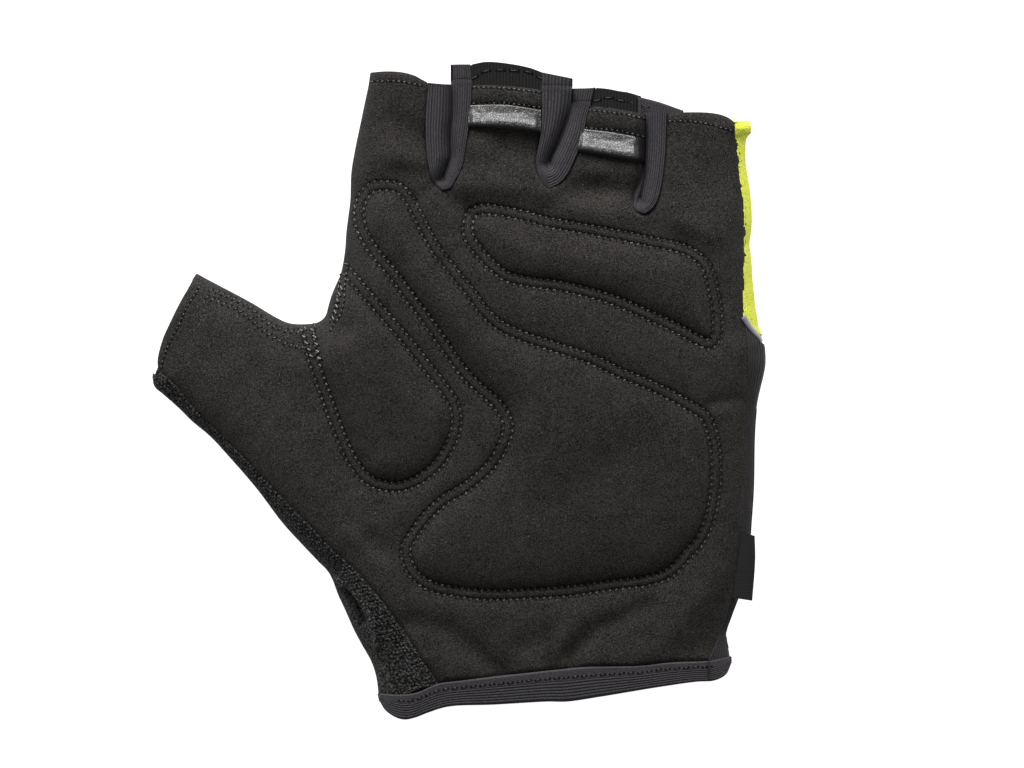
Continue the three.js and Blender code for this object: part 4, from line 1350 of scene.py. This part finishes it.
def stitched(name, rows, surface, slant=0.6, shades=(0.45, 1.3)):
    """Rows of slanted stitches, each with a dark disc at both ends as painted shade for its needle hole: (line,
    closed, pitch, stitch length, radius).
    """
    vertices, faces, tone = [], [], []
    shade_disc_points, shade_disc_faces = [], []
    bend = np.linspace(-1, 1, 5)
    dip = -0.3 * np.abs(bend) ** 2.2 + 0.12
    taper = np.array([0.7, 1.0, 1.05, 1.0, 0.7])
    circle = np.arange(6) * math.pi / 3
    circle = np.column_stack([np.cos(circle), np.sin(circle)])
    turned = np.array([[math.cos(slant), math.sin(slant)], [-math.sin(slant), math.cos(slant)]])
    for line, closed, pitch, length, radius in rows:
        spots = resample(line, pitch, closed=closed)
        way = headings(spots, closed) @ turned
        points = (spots[:, None] + way[:, None] * bend[None, :, None] * length / 2).reshape(-1, 2)
        heights = surface(points).reshape(len(spots), -1)
        points = points.reshape(len(spots), -1, 2)
        for place, level in zip(points, heights):
            shake = random.uniform(-0.08, 0.08)
            path = np.column_stack([place, level + dip + shake * 0.5])
            path[:, :2] += random.uniform(-0.06, 0.06)
            up = np.tile([0.0, 0.0, 1.0], (len(bend), 1))
            grid = tube_along(path, 6, radius, radius * 0.8, up)
            grid = path[:, None] + (grid - path[:, None]) * taper[:, None, None]
            faces += capped(grid, start=len(vertices))
            vertices += [tuple(v) for v in grid.reshape(-1, 3)]
            tone += [random.uniform(*shades)] * grid.shape[0] * grid.shape[1]
            # Dark discs at both ends of each stitch: painted shade for the needle holes.
            for end in (0, -1):
                rim = path[end, :2] + circle * radius * random.uniform(1.7, 2.4)
                shade_disc_faces.append([len(shade_disc_points) + k for k in range(6)])
                shade_disc_points += [(x, y, z) for (x, y), z in zip(rim, surface(rim) + 0.11)]
    obj = object_of(name, vertices, faces, sharp=80, tone=tone)
    dress(obj, "thread")
    # The dark discs, painted shade for the needle holes.
    hole_shade_discs = object_of(name + "_hole_shade", shade_disc_points, shade_disc_faces)
    dress(hole_shade_discs, "painted_hole_shade")


def kept_inside(rows, outline, gap):
    """The parts of open or closed rows that lie inside an outline, clear of its edge."""
    edge = Track(outline, closed=True)
    kept = []
    for line, closed, *rest in rows:
        line = resample(line, 0.4, closed=closed)
        inside = inside_of(outline, line) & (edge.near(line)[0] > gap)
        if inside.all():
            kept.append((line, closed, *rest))
            continue
        starts = np.flatnonzero(np.diff(np.concatenate([[0], inside.astype(int), [0]])))
        for start, end in zip(starts[::2], starts[1::2]):
            if end - start > 8:
                kept.append((line[start:end], False, *rest))
    return kept


# Rows of small stitches on the suede, and two worked over its sewn edges beside the thumb.
HEM_ROWS = [
    [(372, 81), (398, 81), (420, 85)],
    [(474, 87), (505, 88), (539, 92)], [(474, 103), (505, 103), (539, 107)],
    [(590, 110), (618, 113), (644, 118)], [(586, 128), (615, 130), (643, 136)],
    [(670, 121), (700, 122), (731, 130)],
    [(199, 287), (188, 305), (178, 326), (166, 350), (161, 366)],
    [(347, 268), (344.5, 285), (344, 300), (340, 315), (331, 329)],
    [(340, 276), (338, 290), (336, 305), (330, 320)],
]
OVERLOCK_ROWS = [
    [(211, 290), (228, 296), (248, 306), (258, 315), (270, 324), (284, 330), (298, 332)],
    [(207, 297), (220, 302), (245, 314.5), (266, 332), (278, 340), (290, 345), (303, 347)],
]
CROTCH_ROWS = [
    [(301, 330), (304, 338), (308, 347), (311, 356)], [(312, 330), (315, 339), (317, 349), (319, 358)],
    [(341, 288), (338, 298), (336, 308), (333, 318)],
]
BACK_ROWS = [
    [(474, 77), (480, 72), (489, 70), (517, 70), (531, 72), (541, 77)],
    [(597, 100), (604, 97), (614, 98), (626, 101), (635, 103), (645, 106)],
]


def make_stitches():
    pad_rows = []
    for line, closed, sign in zip(pad_lines, pad_closed, pad_sides):
        for offset in (0, ROW_GAP):
            row = beside(line, offset * sign, closed)
            pad_rows.append((row, closed, STITCH_PITCH, STITCH_LENGTH, THREAD))
    stitched("pad_stitches", kept_inside(pad_rows, palm_outline(), 0.7), palm_surface)
    hems = [(smooth(pixels), False, 1.3, 0.85, 0.14) for pixels in HEM_ROWS]
    stitched("hem_stitches", hems, palm_surface, slant=0.2)
    overlock = [(smooth(pixels), False, 1.5, 1.0, 0.15) for pixels in OVERLOCK_ROWS]
    crotch = [(smooth(pixels), False, 1.65, 1.35, 0.18) for pixels in CROTCH_ROWS]
    stitched("crotch_stitches", crotch, palm_surface, slant=0.75, shades=(1.3, 2.2))
    stitched("overlock_stitches", overlock, palm_surface, slant=0.9, shades=(0.5, 1.0))
    across = 0.27
    top, low = (resample(smooth(pixels), count=400) for pixels in (CUFF_TOP, CUFF_LOW))
    cuff_row = (top * (1 - across) + low * across)[16:-10]
    binding = [(cuff_row, False, 2.3, 1.1, 0.15)]
    stitched("cuff_stitches", binding, plain_top(0.45), slant=0.1, shades=(0.2, 0.5))
    inner = [(smooth(pixels), False, 3.4, 2.1, 0.16) for pixels in BACK_ROWS]
    lift = BACK_WALL + 0.05
    stitched(
        "back_stitches", inner, lambda spots: sole_of(spots) + lift, slant=0.0,
        shades=(0.15, 0.45),
    )


make_camera()
make_studio()
make_palm()
make_tapes()
make_terry()
make_bright_side()
make_gusset()
make_back()
make_piping()
make_tabs()
make_binding()
make_label()
make_stitches()
